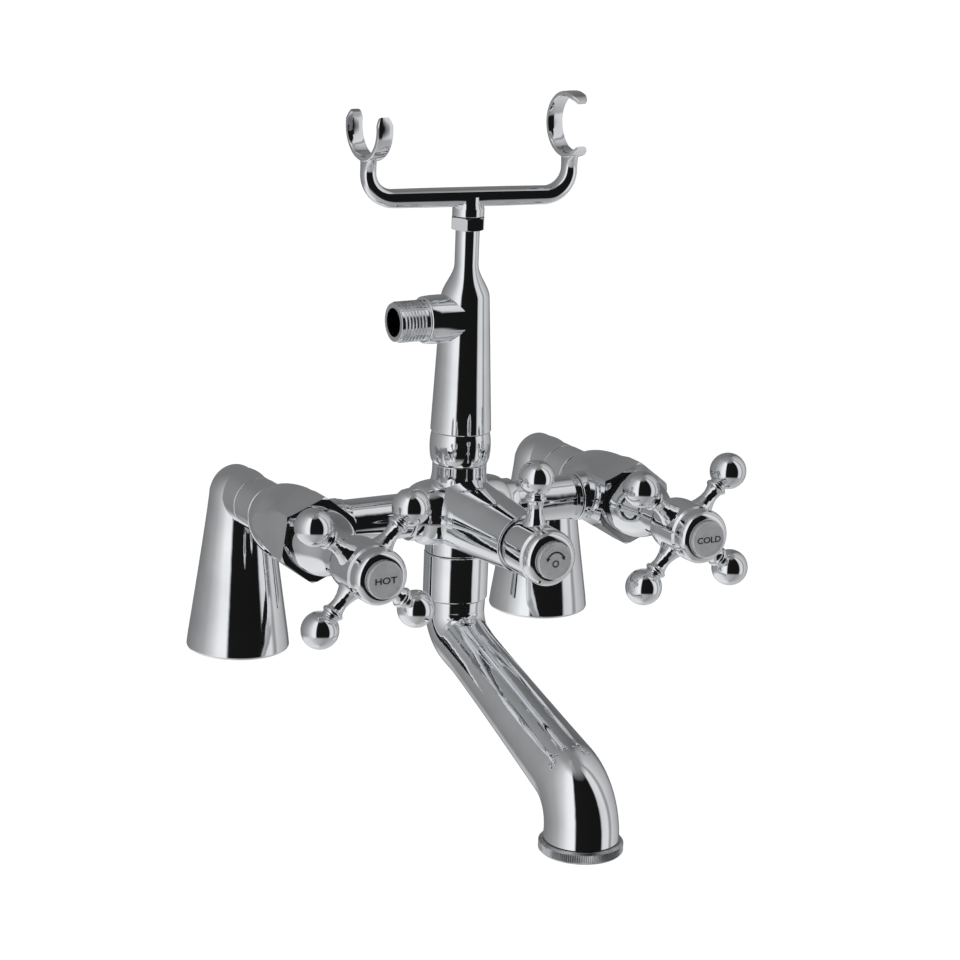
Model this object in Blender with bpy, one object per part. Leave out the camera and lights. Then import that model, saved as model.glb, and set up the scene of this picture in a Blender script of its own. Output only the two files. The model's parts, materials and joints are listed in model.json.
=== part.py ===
"""Rim-mounted bath and shower mixer: cross-handle valves, lever diverter, swivel spout and cradle.

Metres, +Z up. The origin is on the bath rim, midway between the two feet. The two inlets lie along X,
and the handles and the spout face -Y.
"""
import math

import bmesh
import bpy
from mathutils import Matrix, Vector

# ---------------------------------------------------------------- driving dimensions
# Layout
INLET_CENTRES = 0.180       # between the axes of the two legs
AXIS_HEIGHT = 0.082         # from the rim to the valve axes
BODY_FORWARD = 0.0686       # from the legs to the axis of the riser and the spout
GAP = 0.0003                # between faces that touch, and round what slides in a bore
MERGE = 0.000001            # points closer than this are one point

# Legs, their inlets (3/4 inch BSP female) and the gaskets under the feet
FOOT_R = 0.0268
FOOT_EDGE = 0.0014
FLARE = 1.08                # 1 is a straight cone, more draws the waist in
LEG_NECK_R = 0.0158
ELBOW_FACE = 0.0218         # forward of the leg's axis
UNION_THREAD_R = 0.0112
UNION_THREAD_LEN = 0.0080
WATERWAY_R = 0.0080
INLET_R = 0.01206
INLET_DEPTH = 0.0180
GASKET_IN_R = 0.0150
GASKET_OUT_R = 0.0210
GASKET_T = 0.0017

# Unions between the legs and the valve bodies
UNION_WASHER_T = 0.0014
UNION_FLANGE_T = 0.0030
UNION_TAIL_R = UNION_THREAD_R - 0.0015
UNION_TAIL_ENGAGE = 0.0080
COLLAR_R = UNION_THREAD_R + GAP + 0.0021    # the last number is the collar's wall
COLLAR_LIP_T = 0.0044
COLLAR_EDGE = 0.0008
UNION_NECK = 0.0022         # tail that shows between the collar and the valve body
ELBOW_R = COLLAR_R - 0.0002
LEG_CROWN = ELBOW_R         # height of the leg's dome over the valve axis

# Valve bodies: hexagon bar, turned round at the back
VALVE_LEN = 0.0513
VALVE_BACK_R = UNION_TAIL_R + GAP + 0.0030
VALVE_WAIST_R = 0.0199      # turned radius at the side port
HEX_R = 0.0220              # over the corners, halved
HEX_EDGE = 0.0008
HEX_TURN = math.radians(-8)         # how the bar stands, from a corner straight up
SEAT_DEPTH = 0.0330         # from the front face to the floor of the headwork's socket
PORT_BOSS_OUT = 0.0220      # from the valve's axis

# Side pipes, and the bosses and arms that hold them
PIPE_R = 0.0113
PIPE_BORE_R = 0.0065
PIPE_SPIGOT_R = PIPE_R - 0.0021
PIPE_SPIGOT_LEN = 0.0056
PIPE_RING_W = 0.0030
PIPE_RING_R = PIPE_R + 0.0009
PORT_BOSS_R = PIPE_R + 0.0013
BODY_ARM_R = PIPE_R + 0.0019

# O-rings: square section in the model
O_RING_T = 0.0016
O_RING_SINK = 0.0013        # depth of the groove in the spigot

# Ceramic-disc headworks
HEADWORK_R = 0.0118
HEADWORK_FLANGE_R = HEADWORK_R + 0.0024
HEADWORK_FLANGE_T = 0.0030
HEADWORK_NOSE_R = 0.0080
SEAT_SEAL_T = 0.0016
DISC_R = HEADWORK_R - 0.0029 - GAP  # inside the headwork's wall
DISC_T = 0.0028
DISC_PORT_R = 0.0022
DISC_PORT_OFF = 0.0048
SPINDLE_FOOT_T = 0.0034
SPINDLE_R = 0.0040
WINDOW_R = 0.0028

# Bell shrouds
SHROUD_WALL = 0.0018
SHROUD_BACK_R = HEADWORK_FLANGE_R + 2 * GAP + SHROUD_WALL
SHROUD_LEN = 0.0262
SHROUD_NECK_R = HEADWORK_NOSE_R + GAP + 0.0022
SHROUD_NECK_LEN = 0.0080

# Cross handles and index buttons
HUB_R = 0.0138
HUB_BACK_R = 0.0115
HUB_BACK_LEN = 0.0150       # from the back of the hub to the plane of the arms
HUB_GROOVE_FWD = 0.0095     # from the plane of the arms to the groove
HUB_FRONT_LEN = 0.0190      # from the plane of the arms to the hub's front rim
HUB_GROOVE_DEPTH = 0.0012
HUB_NOSE = 0.0044           # length of the rounded front, round the index
HUB_RIM = 0.0006
ARM_REACH = 0.0363          # hub axis to the middle of the ball
ARM_ROOT_R = 0.0056
ARM_WAIST_R = 0.0037
ARM_BEAD_R = 0.0053
BALL_R = 0.00925
HANDLE_TURN = math.radians(4.9)     # closed position, from a square X
INDEX_R = 0.0092
INDEX_PROUD = 0.0026
INDEX_SEAT = 0.0034
HANDLE_SCREW_HEAD_R = 0.0049
HANDLE_SCREW_HEAD_T = 0.0032
HANDLE_SCREW_R = 0.0024
HANDLE_SCREW_LEN = 0.0090
SCREW_WEB_T = 0.0026        # handle metal under the screw's head

# Central body and diverter
BARREL_R = 0.0190
BARREL_BACK = 0.0266        # from the riser's axis back to the dome
BARREL_CYLINDER = 0.0090    # from the riser's axis forward to where the cone begins
CONE_LEN = 0.0590
BODY_ARM_OUT = 0.0300
BODY_ARM_ROOT_R = BODY_ARM_R + 0.0036
COUPLING_SPIGOT_R = 0.0092
TOP_BOSS_R = COUPLING_SPIGOT_R + GAP + 0.0043
TOP_BOSS_HEIGHT = 0.0250    # over the valve axis
BOTTOM_BOSS_DEPTH = 0.0214  # under the valve axis
ROTOR_R = 0.0108
CONE_R = ROTOR_R + GAP + 0.0037
ROTOR_LEN = 0.0236
ROTOR_PORT_R = 0.0058
STEM_SEAL_DEPTH = 0.0050
LEVER_HUB_R = 0.0140
LEVER_HUB_BACK_R = 0.0128
LEVER_BACK_LEN = 0.0085
LEVER_GROOVE_FWD = 0.0122
LEVER_FRONT_LEN = 0.0190
LEVER_BALL_R = 0.0088

# Spout, its nut and its outlet
SPOUT_THREAD_R = 0.0134
SPOUT_NUT_R = SPOUT_THREAD_R + GAP + 0.0028
SPOUT_NUT_LEN = 0.0240
SPOUT_NUT_LIP_T = 0.0046
BOTTOM_BOSS_R = SPOUT_NUT_R - 0.0003
SPOUT_SPIGOT_R = SPOUT_THREAD_R - 0.0021
SPOUT_TAIL_R = SPOUT_THREAD_R - 0.0030
SPOUT_TAIL_BORE_R = 0.0072
SPOUT_TAIL_FLANGE_T = 0.0028
SPOUT_TAIL_ENGAGE = 0.0064
SPOUT_TAIL_UP = 0.0180      # into the body, over the friction washer
FRICTION_WASHER_T = 0.0017
SPOUT_INLET_R = SPOUT_NUT_R - 0.0008
SPOUT_TUBE_R = 0.0139
SPOUT_WALL = 0.0030
SPOUT_REACH = 0.1337        # riser's axis to the middle of the mouth
SPOUT_SLOPE = math.radians(18)
SPOUT_KNEE = 0.0185         # height over the rim where the two centre lines cross
SPOUT_BEND_R = 0.0172
SPOUT_DROP_BEND_R = 0.0260
SPOUT_MOUTH_Z = -0.0470
AERATOR_T = 0.0060
AERATOR_THREAD_R = 0.0160
AERATOR_THREAD_LEN = 0.0062
AERATOR_BORE_R = AERATOR_THREAD_R - 0.0018
AERATOR_LIP_R = AERATOR_BORE_R - 0.0014
SPOUT_MOUTH_CHANNEL_R = AERATOR_BORE_R - 0.0004
SPOUT_MOUTH_R = AERATOR_THREAD_R + GAP + 0.0021
AERATOR_R = SPOUT_MOUTH_R + 0.0022
AERATOR_LIP_T = 0.0015
AERATOR_INSERT_T = 0.0070
AERATOR_HOLE_R = 0.0026
AERATOR_HOLE_PITCH = 0.0078
AERATOR_WASHER_T = 0.0016

# Riser with the hose outlet (1/2 inch BSP male), lock nut and cradle
COUPLING_R = TOP_BOSS_R + 0.0017
COUPLING_LEN = 0.0163
COUPLING_SPIGOT_LEN = 0.0086
COUPLING_BORE_R = 0.0062
RISER_FOOT_R = 0.0154
RISER_SHOULDER_R = 0.0122
RISER_SHOULDER = 0.0680     # over the riser's foot
RISER_NECK = 0.0850         # over the riser's foot, where the straight neck begins
RISER_NECK_R = 0.0060
RISER_LEN = 0.1025
RISER_BORE_R = 0.0070
OUTLET_HEIGHT = 0.0581      # over the riser's foot
OUTLET_BOSS_R = 0.0122
OUTLET_BOSS_OUT = 0.0240
OUTLET_THREAD_R = 0.01048
OUTLET_THREAD_LEN = 0.0160
OUTLET_BORE_R = 0.00725
OUTLET_CHAMFER = 0.0009
STUD_R = 0.0040
STUD_LEN = 0.0125
LOCK_NUT_R = 0.00925
LOCK_NUT_T = 0.0063
CRADLE_TURN = math.radians(-9.4)
CRADLE_BOSS_R = 0.0080
CRADLE_BOSS_LEN = 0.0060
CRADLE_BAR_UP = 0.0094      # cradle's foot to the bar's centre line
CRADLE_BAR_W = 0.0120
CRADLE_BAR_T = 0.0090
CRADLE_HALF_SPAN = 0.0525
CRADLE_BEND_R = 0.0130
FORK_R = 0.0152             # centre line of the strap
FORK_UP = 0.0353            # bar's centre line to the fork's centre
FORK_STRAP_T = 0.0026
FORK_STRAP_W = 0.0086
FORK_TURN = math.radians(12)        # about the vertical, against the bar
LEFT_FORK_ARC = (-205.0, 25.0)      # from the front (0) up (90) and back (180), in degrees
RIGHT_FORK_ARC = (-308.0, -45.0)

# ---------------------------------------------------------------- finishes: colour, metallic, roughness
FINISHES = {
    "chrome": ((0.80, 0.81, 0.83), 1.0, 0.06),
    "satin_chrome": ((0.62, 0.62, 0.63), 1.0, 0.32),
    "brass": ((0.78, 0.60, 0.30), 1.0, 0.28),
    "index": ((0.66, 0.66, 0.67), 0.6, 0.35),
    "rubber": ((0.03, 0.03, 0.03), 0.0, 0.75),
    "ceramic": ((0.88, 0.87, 0.84), 0.0, 0.20),
    "plastic": ((0.80, 0.80, 0.78), 0.0, 0.40),
    "fibre": ((0.45, 0.12, 0.08), 0.0, 0.80),
    "steel": ((0.58, 0.58, 0.57), 1.0, 0.30),
}
CAST_ROUND = 20             # sides of the central body; multiples of 4 keep facets in step
ROUND = 16                  # sides of the other large round pieces
SMALL_ROUND = 16
TINY_ROUND = 12
FORWARD = (math.radians(90), 0.0, 0.0)      # turns a piece's own +Z to face -Y
ALONG_X = (0.0, math.radians(90), 0.0)      # turns a piece's own +Z to face +X


# ---------------------------------------------------------------- modelling helpers
def arc(centre, radii, start, end, steps):
    """Points of an elliptical arc, as (radius, height); angles in degrees from the radius axis."""
    points = []
    for step in range(steps + 1):
        angle = math.radians(start + (end - start) * step / steps)
        points.append((centre[0] + radii[0] * math.cos(angle), centre[1] + radii[1] * math.sin(angle)))
    return points


def finished_mesh(bm, name):
    """Closes a bmesh into a mesh whose faces point out."""
    bmesh.ops.remove_doubles(bm, verts=bm.verts, dist=MERGE)
    bmesh.ops.recalc_face_normals(bm, faces=bm.faces)
    mesh = bpy.data.meshes.new(name)
    bm.to_mesh(mesh)
    bm.free()
    return mesh


def turned(name, outline, sides=ROUND, start=0.0):
    """A solid turned round Z; the (radius, height) outline ends on the axis, or is a closed ring."""
    bm = bmesh.new()
    first = Matrix.Rotation(start, 3, "Z")
    verts = [bm.verts.new(first @ Vector((radius, 0.0, height))) for radius, height in outline]
    edges = [bm.edges.new(pair) for pair in zip(verts, verts[1:])]
    if outline[0][0] > MERGE:
        edges.append(bm.edges.new((verts[-1], verts[0])))
    bmesh.ops.spin(bm, geom=verts + edges, cent=(0, 0, 0), axis=(0, 0, 1), dvec=(0, 0, 0),
                   angle=math.tau, steps=sides, use_merge=True)
    return finished_mesh(bm, name)


def rod(name, radius, low, high, sides=SMALL_ROUND):
    """A plain round bar between two heights."""
    return turned(name, [(0, low), (radius, low), (radius, high), (0, high)], sides)


def washer(name, inner, outer, low, high, sides=ROUND):
    """A flat ring between two heights."""
    return turned(name, [(inner, low), (outer, low), (outer, high), (inner, high)], sides)


def swept(name, path, halves, across, section):
    """A solid swept along a flat path; halves are (across, through) half sizes at each point."""
    bm = bmesh.new()
    across = Vector(across)
    rings = []
    for index, point in enumerate(path):
        before = Vector(path[max(index - 1, 0)])
        after = Vector(path[min(index + 1, len(path) - 1)])
        through = across.cross((after - before).normalized())
        wide, thick = halves[index]
        ring = [bm.verts.new(Vector(point) + across * wide * u + through * thick * v) for u, v in section]
        rings.append(ring)
    for ring in rings:
        for pair in zip(ring, ring[1:] + ring[:1]):
            bm.edges.new(pair)
    for ring, following in zip(rings, rings[1:]):
        count = len(ring)
        for side in range(count):
            beside = (side + 1) % count
            bm.faces.new((ring[side], ring[beside], following[beside], following[side]))
    bm.faces.new(rings[0])
    bm.faces.new(rings[-1])
    return finished_mesh(bm, name)


def round_section(sides):
    """A unit circle of points, for a sweep."""
    return [(math.cos(math.tau * k / sides), math.sin(math.tau * k / sides)) for k in range(sides)]


def hexagon_bar(name, radius, low, high):
    """A hexagon bar with one corner along +X, between two heights."""
    return turned(name, [(0, low), (radius, low), (radius, high), (0, high)], 6)


def joined(name, meshes):
    """One mesh of several separate solids; each entry is a mesh and its place."""
    bm = bmesh.new()
    for mesh, place in meshes:
        part = bmesh.new()
        part.from_mesh(mesh)
        part.transform(place)
        moved = bpy.data.meshes.new(mesh.name + "_moved")
        part.to_mesh(moved)
        part.free()
        bm.from_mesh(moved)
        bpy.data.meshes.remove(moved)
    return finished_mesh(bm, name)


def finish(name, kind):
    """The piece's own material."""
    colour, metallic, roughness = FINISHES[kind]
    material = bpy.data.materials.new(name + "_" + kind)
    material.use_nodes = True
    shader = material.node_tree.nodes["Principled BSDF"]
    shader.inputs["Base Color"].default_value = (*colour, 1.0)
    shader.inputs["Metallic"].default_value = metallic
    shader.inputs["Roughness"].default_value = roughness
    return material


def placed(mesh, name, parent):
    """An object for a mesh, under the frame it belongs to."""
    obj = bpy.data.objects.new(name, mesh)
    bpy.context.collection.objects.link(obj)
    obj.parent = parent
    return obj


def piece(mesh, kind, parent=None):
    """One sub-part: its object takes the mesh's name and gets its own material."""
    mesh.shade_smooth()
    mesh.set_sharp_from_angle(angle=math.radians(35))
    obj = placed(mesh, mesh.name, parent)
    obj.data.materials.append(finish(mesh.name, kind))
    return obj


def frame(name, location, rotation=(0.0, 0.0, 0.0)):
    """An empty on an axis that pieces are placed round."""
    empty = bpy.data.objects.new(name, None)
    empty.location = location
    empty.rotation_euler = rotation
    bpy.context.collection.objects.link(empty)
    return empty


def combine(obj, mesh, operation, location=(0.0, 0.0, 0.0), rotation=(0.0, 0.0, 0.0)):
    """Adds to, cuts or trims a piece with another solid, which stays as a hidden wire guide."""
    guide = placed(mesh, mesh.name, obj.parent)
    guide.location = location
    guide.rotation_euler = rotation
    guide.hide_render = True
    guide.display_type = "WIRE"
    modifier = obj.modifiers.new(mesh.name, "BOOLEAN")
    modifier.object = guide
    modifier.operation = operation
    modifier.solver = "EXACT"
    return guide


def o_ring(name, spigot_radius, low):
    """A square-section O-ring in the groove that `grooved` leaves."""
    inner = spigot_radius - O_RING_SINK + GAP / 2
    outer = spigot_radius + GAP / 4
    return washer(name, inner, outer, low + GAP / 2, low + O_RING_T - GAP / 2, SMALL_ROUND)


def grooved(spigot_radius, low):
    """The (radius, height) points of an O-ring groove, going up."""
    floor = spigot_radius - O_RING_SINK
    high = low + O_RING_T
    return [(spigot_radius, low), (floor, low), (floor, high), (spigot_radius, high)]


# ---------------------------------------------------------------- distances forward of the legs' axis
UNION_SEAL = ELBOW_FACE + UNION_THREAD_LEN + GAP
FLANGE_BACK = UNION_SEAL + UNION_WASHER_T + GAP
FLANGE_FRONT = FLANGE_BACK + UNION_FLANGE_T
COLLAR_FRONT = FLANGE_FRONT + GAP + COLLAR_LIP_T
VALVE_BACK = COLLAR_FRONT + UNION_NECK
VALVE_FACE = VALVE_BACK + VALVE_LEN
SEAT = VALVE_FACE - SEAT_DEPTH
DISC_BACK = SEAT + SEAT_SEAL_T + 2 * GAP
DISC_MIDDLE = DISC_BACK + DISC_T + GAP
SPINDLE_BACK = DISC_MIDDLE + DISC_T + GAP
CHAMBER_FRONT = SPINDLE_BACK + SPINDLE_FOOT_T + GAP
SHROUD_BACK = VALVE_FACE + GAP
SHROUD_FRONT = SHROUD_BACK + SHROUD_LEN
NECK_FRONT = SHROUD_FRONT + SHROUD_NECK_LEN
HUB_BACK = NECK_FRONT + GAP
ARM_PLANE = HUB_BACK + HUB_BACK_LEN
HUB_FACE = ARM_PLANE + HUB_FRONT_LEN
CONE_FACE = BODY_FORWARD + BARREL_CYLINDER + CONE_LEN
LEVER_BACK = CONE_FACE + 3 * GAP
LEVER_PLANE = LEVER_BACK + LEVER_BACK_LEN
LEVER_FACE = LEVER_PLANE + LEVER_FRONT_LEN


# ---------------------------------------------------------------- legs and unions
def leg_outline():
    """The flared column, its dome and the gasket's recess under the foot."""
    steps = 4
    outline = [(0.0, 0.0), (GASKET_IN_R - GAP, 0.0), (GASKET_IN_R - GAP, GASKET_T + GAP)]
    outline += [(GASKET_OUT_R + GAP, GASKET_T + GAP), (GASKET_OUT_R + GAP, 0.0)]
    outline += arc((FOOT_R - FOOT_EDGE, FOOT_EDGE), (FOOT_EDGE, FOOT_EDGE), -90, 0, 2)
    for step in range(1, steps + 1):
        share = step / steps
        height = FOOT_EDGE + (AXIS_HEIGHT - FOOT_EDGE) * share
        outline.append((LEG_NECK_R + (FOOT_R - LEG_NECK_R) * (1 - share) ** FLARE, height))
    outline += arc((0.0, AXIS_HEIGHT), (LEG_NECK_R, LEG_CROWN), 0, 90, 5)[1:]
    outline[-1] = (0.0, AXIS_HEIGHT + LEG_CROWN)
    return outline


def build_leg(side, x):
    """One leg with its gasket, union washer, union tail and union collar."""
    foot = frame(side + "_leg_frame", (x, 0.0, 0.0))
    leg = piece(turned(side + "_leg", leg_outline()), "chrome", foot)
    back = LEG_NECK_R / 2
    elbow = [(0.0, -back), (ELBOW_R, -back), (ELBOW_R, ELBOW_FACE), (UNION_THREAD_R, ELBOW_FACE),
             (UNION_THREAD_R, ELBOW_FACE + UNION_THREAD_LEN), (0.0, ELBOW_FACE + UNION_THREAD_LEN)]
    combine(leg, turned(side + "_elbow_solid", elbow), "UNION", (0, 0, AXIS_HEIGHT), FORWARD)
    column = [(0.0, -GAP), (INLET_R, -GAP), (INLET_R, INLET_DEPTH), (WATERWAY_R, INLET_DEPTH),
              (WATERWAY_R, AXIS_HEIGHT)]
    column += arc((0.0, AXIS_HEIGHT), (WATERWAY_R, WATERWAY_R), 0, 90, 2)[1:-1]
    column.append((0.0, AXIS_HEIGHT + WATERWAY_R))
    combine(leg, turned(side + "_leg_waterway", column, SMALL_ROUND), "DIFFERENCE")
    across = rod(side + "_elbow_waterway", WATERWAY_R * 0.98, 0.0, VALVE_BACK)
    combine(leg, across, "DIFFERENCE", (0, 0, AXIS_HEIGHT), FORWARD)

    gasket = washer(side + "_foot_gasket", GASKET_IN_R, GASKET_OUT_R, 0.0, GASKET_T)
    piece(gasket, "rubber", foot)

    union = frame(side + "_union_frame", (x, 0.0, AXIS_HEIGHT), FORWARD)
    seal = washer(side + "_union_washer", WATERWAY_R + GAP, UNION_THREAD_R - GAP, UNION_SEAL,
                  UNION_SEAL + UNION_WASHER_T, SMALL_ROUND)
    piece(seal, "fibre", union)
    tail_end = VALVE_BACK + UNION_TAIL_ENGAGE
    tail = [(WATERWAY_R, FLANGE_BACK), (UNION_THREAD_R, FLANGE_BACK), (UNION_THREAD_R, FLANGE_FRONT),
            (UNION_TAIL_R, FLANGE_FRONT), (UNION_TAIL_R, tail_end), (WATERWAY_R, tail_end)]
    piece(turned(side + "_union_tail", tail, SMALL_ROUND), "chrome", union)
    bore = UNION_THREAD_R + GAP
    lip = UNION_TAIL_R + GAP
    low = ELBOW_FACE + GAP
    collar = [(bore, low), (COLLAR_R - COLLAR_EDGE, low), (COLLAR_R, low + COLLAR_EDGE),
              (COLLAR_R, COLLAR_FRONT - COLLAR_EDGE), (COLLAR_R - COLLAR_EDGE, COLLAR_FRONT),
              (lip, COLLAR_FRONT), (lip, FLANGE_FRONT + GAP), (bore, FLANGE_FRONT + GAP)]
    piece(turned(side + "_union_collar", collar), "chrome", union)


# ---------------------------------------------------------------- valves
def valve_body_outline():
    """The turned shape that trims the hexagon bar: round behind, full hexagon in front."""
    port = BODY_FORWARD
    outline = [(0.0, VALVE_BACK), (VALVE_BACK_R, VALVE_BACK)]
    outline += arc((VALVE_BACK_R, port), (VALVE_WAIST_R - VALVE_BACK_R, port - VALVE_BACK), -75, 0, 4)
    outline += [(HEX_R + HEX_EDGE, VALVE_FACE - HEX_EDGE), (HEX_R - HEX_EDGE, VALVE_FACE), (0.0, VALVE_FACE)]
    return outline


def build_valve_body(side, valve, inward):
    """A hexagon body with its side port towards the middle of the mixer; inward is +1 or -1."""
    spare = 0.0020          # bar stock past both ends, which the turning takes off
    stock = hexagon_bar(side + "_valve_body", HEX_R, VALVE_BACK - spare, VALVE_FACE + spare)
    body = piece(stock, "chrome", valve)
    body.data.transform(Matrix.Rotation(math.radians(30) + HEX_TURN, 4, "Z"))
    combine(body, turned(side + "_valve_trim", valve_body_outline()), "INTERSECT")
    boss = rod(side + "_port_boss", PORT_BOSS_R, 0.0, inward * PORT_BOSS_OUT, ROUND)
    port_place = (0.0, 0.0, BODY_FORWARD)
    combine(body, boss, "UNION", port_place, ALONG_X)
    front = VALVE_FACE + GAP
    socket = [(0.0, VALVE_BACK - GAP), (UNION_TAIL_R + GAP, VALVE_BACK - GAP),
              (UNION_TAIL_R + GAP, VALVE_BACK + UNION_TAIL_ENGAGE + GAP),
              (WATERWAY_R, VALVE_BACK + UNION_TAIL_ENGAGE + GAP), (WATERWAY_R, SEAT),
              (HEADWORK_R + GAP, SEAT), (HEADWORK_R + GAP, front), (0.0, front)]
    combine(body, turned(side + "_valve_bore", socket), "DIFFERENCE")
    inner = PORT_BOSS_OUT - PIPE_SPIGOT_LEN - GAP
    port = [(0.0, 0.0), (PIPE_BORE_R, 0.0), (PIPE_BORE_R, inner), (PIPE_SPIGOT_R + GAP, inner),
            (PIPE_SPIGOT_R + GAP, PORT_BOSS_OUT + GAP), (0.0, PORT_BOSS_OUT + GAP)]
    port = [(radius, inward * along) for radius, along in port]
    combine(body, turned(side + "_port_bore", port, SMALL_ROUND), "DIFFERENCE", port_place, ALONG_X)


def disc_with_ports(name, low, high, angle):
    """A ceramic disc with two opposite round ports."""
    disc = rod(name, DISC_R, low, high)
    port = rod(name + "_port", DISC_PORT_R, low - GAP, high + GAP, 12)
    places = []
    for turn in (angle, angle + math.pi):
        offset = Vector((DISC_PORT_OFF * math.cos(turn), DISC_PORT_OFF * math.sin(turn), 0.0))
        places.append((port, Matrix.Translation(offset)))
    return disc, joined(name + "_ports", places)


def build_headwork(side, valve):
    """The quarter-turn ceramic cartridge in the valve body: what stays still, and what turns."""
    seal = washer(side + "_seat_seal", WATERWAY_R + GAP, HEADWORK_R - GAP, SEAT + GAP,
                  SEAT + GAP + SEAT_SEAL_T, SMALL_ROUND)
    piece(seal, "rubber", valve)
    shell_back = DISC_BACK
    flange_front = SHROUD_BACK + HEADWORK_FLANGE_T
    stem_bore = SPINDLE_R + GAP
    shell = [(DISC_R + GAP, shell_back), (HEADWORK_R, shell_back), (HEADWORK_R, SHROUD_BACK),
             (HEADWORK_FLANGE_R, SHROUD_BACK), (HEADWORK_FLANGE_R, flange_front),
             (HEADWORK_NOSE_R, flange_front), (HEADWORK_NOSE_R, NECK_FRONT - GAP),
             (stem_bore, NECK_FRONT - GAP), (stem_bore, CHAMBER_FRONT), (DISC_R + GAP, CHAMBER_FRONT)]
    headwork = piece(turned(side + "_headwork", shell, SMALL_ROUND), "brass", valve)
    window_place = (0.0, 0.0, (SPINDLE_BACK + CHAMBER_FRONT) / 2)
    window = rod(side + "_headwork_windows", WINDOW_R, -HEADWORK_R - GAP, HEADWORK_R + GAP, 12)
    combine(headwork, window, "DIFFERENCE", window_place, ALONG_X)
    disc, ports = disc_with_ports(side + "_fixed_disc", DISC_BACK, DISC_BACK + DISC_T, 0.0)
    combine(piece(disc, "ceramic", valve), ports, "DIFFERENCE")
    disc, ports = disc_with_ports(side + "_moving_disc", DISC_MIDDLE, DISC_MIDDLE + DISC_T, math.pi / 2)
    combine(piece(disc, "ceramic", valve), ports, "DIFFERENCE")


def build_spindle(name, parent, foot, foot_back, foot_front, tip):
    """A spindle that turns with its handle, tapped for the handle's screw."""
    tapped = HANDLE_SCREW_R + GAP
    floor = tip - HANDLE_SCREW_LEN
    outline = [(0.0, foot_back), (foot, foot_back), (foot, foot_front), (SPINDLE_R, foot_front),
               (SPINDLE_R, tip), (tapped, tip), (tapped, floor), (0.0, floor)]
    return piece(turned(name, outline, SMALL_ROUND), "brass", parent)


def bell_radius(share):
    """The bell's outside radius, from its back (0) to where its neck begins (1)."""
    return SHROUD_NECK_R + (SHROUD_BACK_R - SHROUD_NECK_R) * (1 + math.cos(math.pi * share ** 1.2)) / 2


def build_shroud(side, valve):
    """The bell-shaped cover over the headwork."""
    steps = 6
    bore = HEADWORK_NOSE_R + GAP
    shares = [step / steps for step in range(steps + 1)]
    outline = [(bell_radius(share), SHROUD_BACK + SHROUD_LEN * share) for share in shares]
    inside = [(radius - SHROUD_WALL, height) for radius, height in outline[:steps - 1]]
    outline += [(SHROUD_NECK_R, NECK_FRONT), (bore, NECK_FRONT), (bore, inside[-1][1])]
    outline += reversed(inside)
    piece(turned(side + "_shroud", outline), "chrome", valve)


def hub_outline(radius, back_radius, back, plane, groove, face):
    """A turned hub: rounded back, a groove in front of the arms and a rounded nose round the index."""
    round_len = (plane - back) / 2
    outline = [(0.0, back), (back_radius, back)]
    outline += arc((back_radius, back + round_len), (radius - back_radius, round_len), -60, 0, 3)
    depth = HUB_GROOVE_DEPTH
    outline += [(radius, plane + groove - depth), (radius - depth, plane + groove),
                (radius, plane + groove + depth)]
    rim = INDEX_R + GAP + HUB_RIM
    outline += arc((rim, face - HUB_NOSE), (radius - rim, HUB_NOSE), 0, 90, 3)
    outline.append((0.0, face))
    return outline


def hub_bore(face, back):
    """The cutter for the spindle, the screw and the index button; returns it with the seat heights."""
    index_floor = face - INDEX_SEAT
    screw_floor = index_floor - HANDLE_SCREW_HEAD_T - 2 * GAP
    spindle_top = screw_floor - SCREW_WEB_T
    outline = [(0.0, back - GAP), (SPINDLE_R + GAP, back - GAP), (SPINDLE_R + GAP, spindle_top),
               (HANDLE_SCREW_R + GAP, spindle_top), (HANDLE_SCREW_R + GAP, screw_floor),
               (HANDLE_SCREW_HEAD_R + GAP, screw_floor), (HANDLE_SCREW_HEAD_R + GAP, index_floor),
               (INDEX_R + GAP, index_floor), (INDEX_R + GAP, face + GAP), (0.0, face + GAP)]
    return outline, index_floor, screw_floor, spindle_top


def ball_arm(name, root, reach, ball):
    """A turned arm along +Z from inside the hub: flared root, waist, bead and ball."""
    neck = reach - math.sqrt(ball ** 2 - ARM_WAIST_R ** 2) * 0.98
    bead = neck - ARM_BEAD_R * 0.30
    span = bead - root
    outline = [(0.0, root * 0.75), (ARM_ROOT_R, root * 0.75), (ARM_ROOT_R, root),
               (ARM_WAIST_R * 1.12, root + span * 0.30), (ARM_WAIST_R, root + span * 0.60),
               (ARM_BEAD_R * 0.92, bead - ARM_BEAD_R * 0.20), (ARM_BEAD_R, bead)]
    start = -math.degrees(math.acos(ARM_BEAD_R * 0.88 / ball))
    outline += arc((0.0, reach), (ball, ball), start, 90, 5)
    outline[-1] = (0.0, reach + ball)
    return turned(name, outline, 10)


def build_handle_trim(side, parent, index_floor, screw_floor, index_face):
    """The screw that holds a handle on its spindle, and the index button over it."""
    head = screw_floor + GAP
    outline = [(0.0, screw_floor - SCREW_WEB_T - HANDLE_SCREW_LEN + 3 * GAP)]
    outline += [(HANDLE_SCREW_R, outline[0][1]), (HANDLE_SCREW_R, head), (HANDLE_SCREW_HEAD_R, head),
                (HANDLE_SCREW_HEAD_R, head + HANDLE_SCREW_HEAD_T), (0.0, head + HANDLE_SCREW_HEAD_T)]
    piece(turned(side + "_handle_screw", outline, TINY_ROUND), "steel", parent)
    low = index_floor + GAP
    edge = INDEX_PROUD / 3
    button = [(0.0, low), (INDEX_R, low), (INDEX_R, index_face - edge), (INDEX_R - edge, index_face),
              (0.0, index_face)]
    piece(turned(side + "_index", button, SMALL_ROUND), "index", parent)


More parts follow.
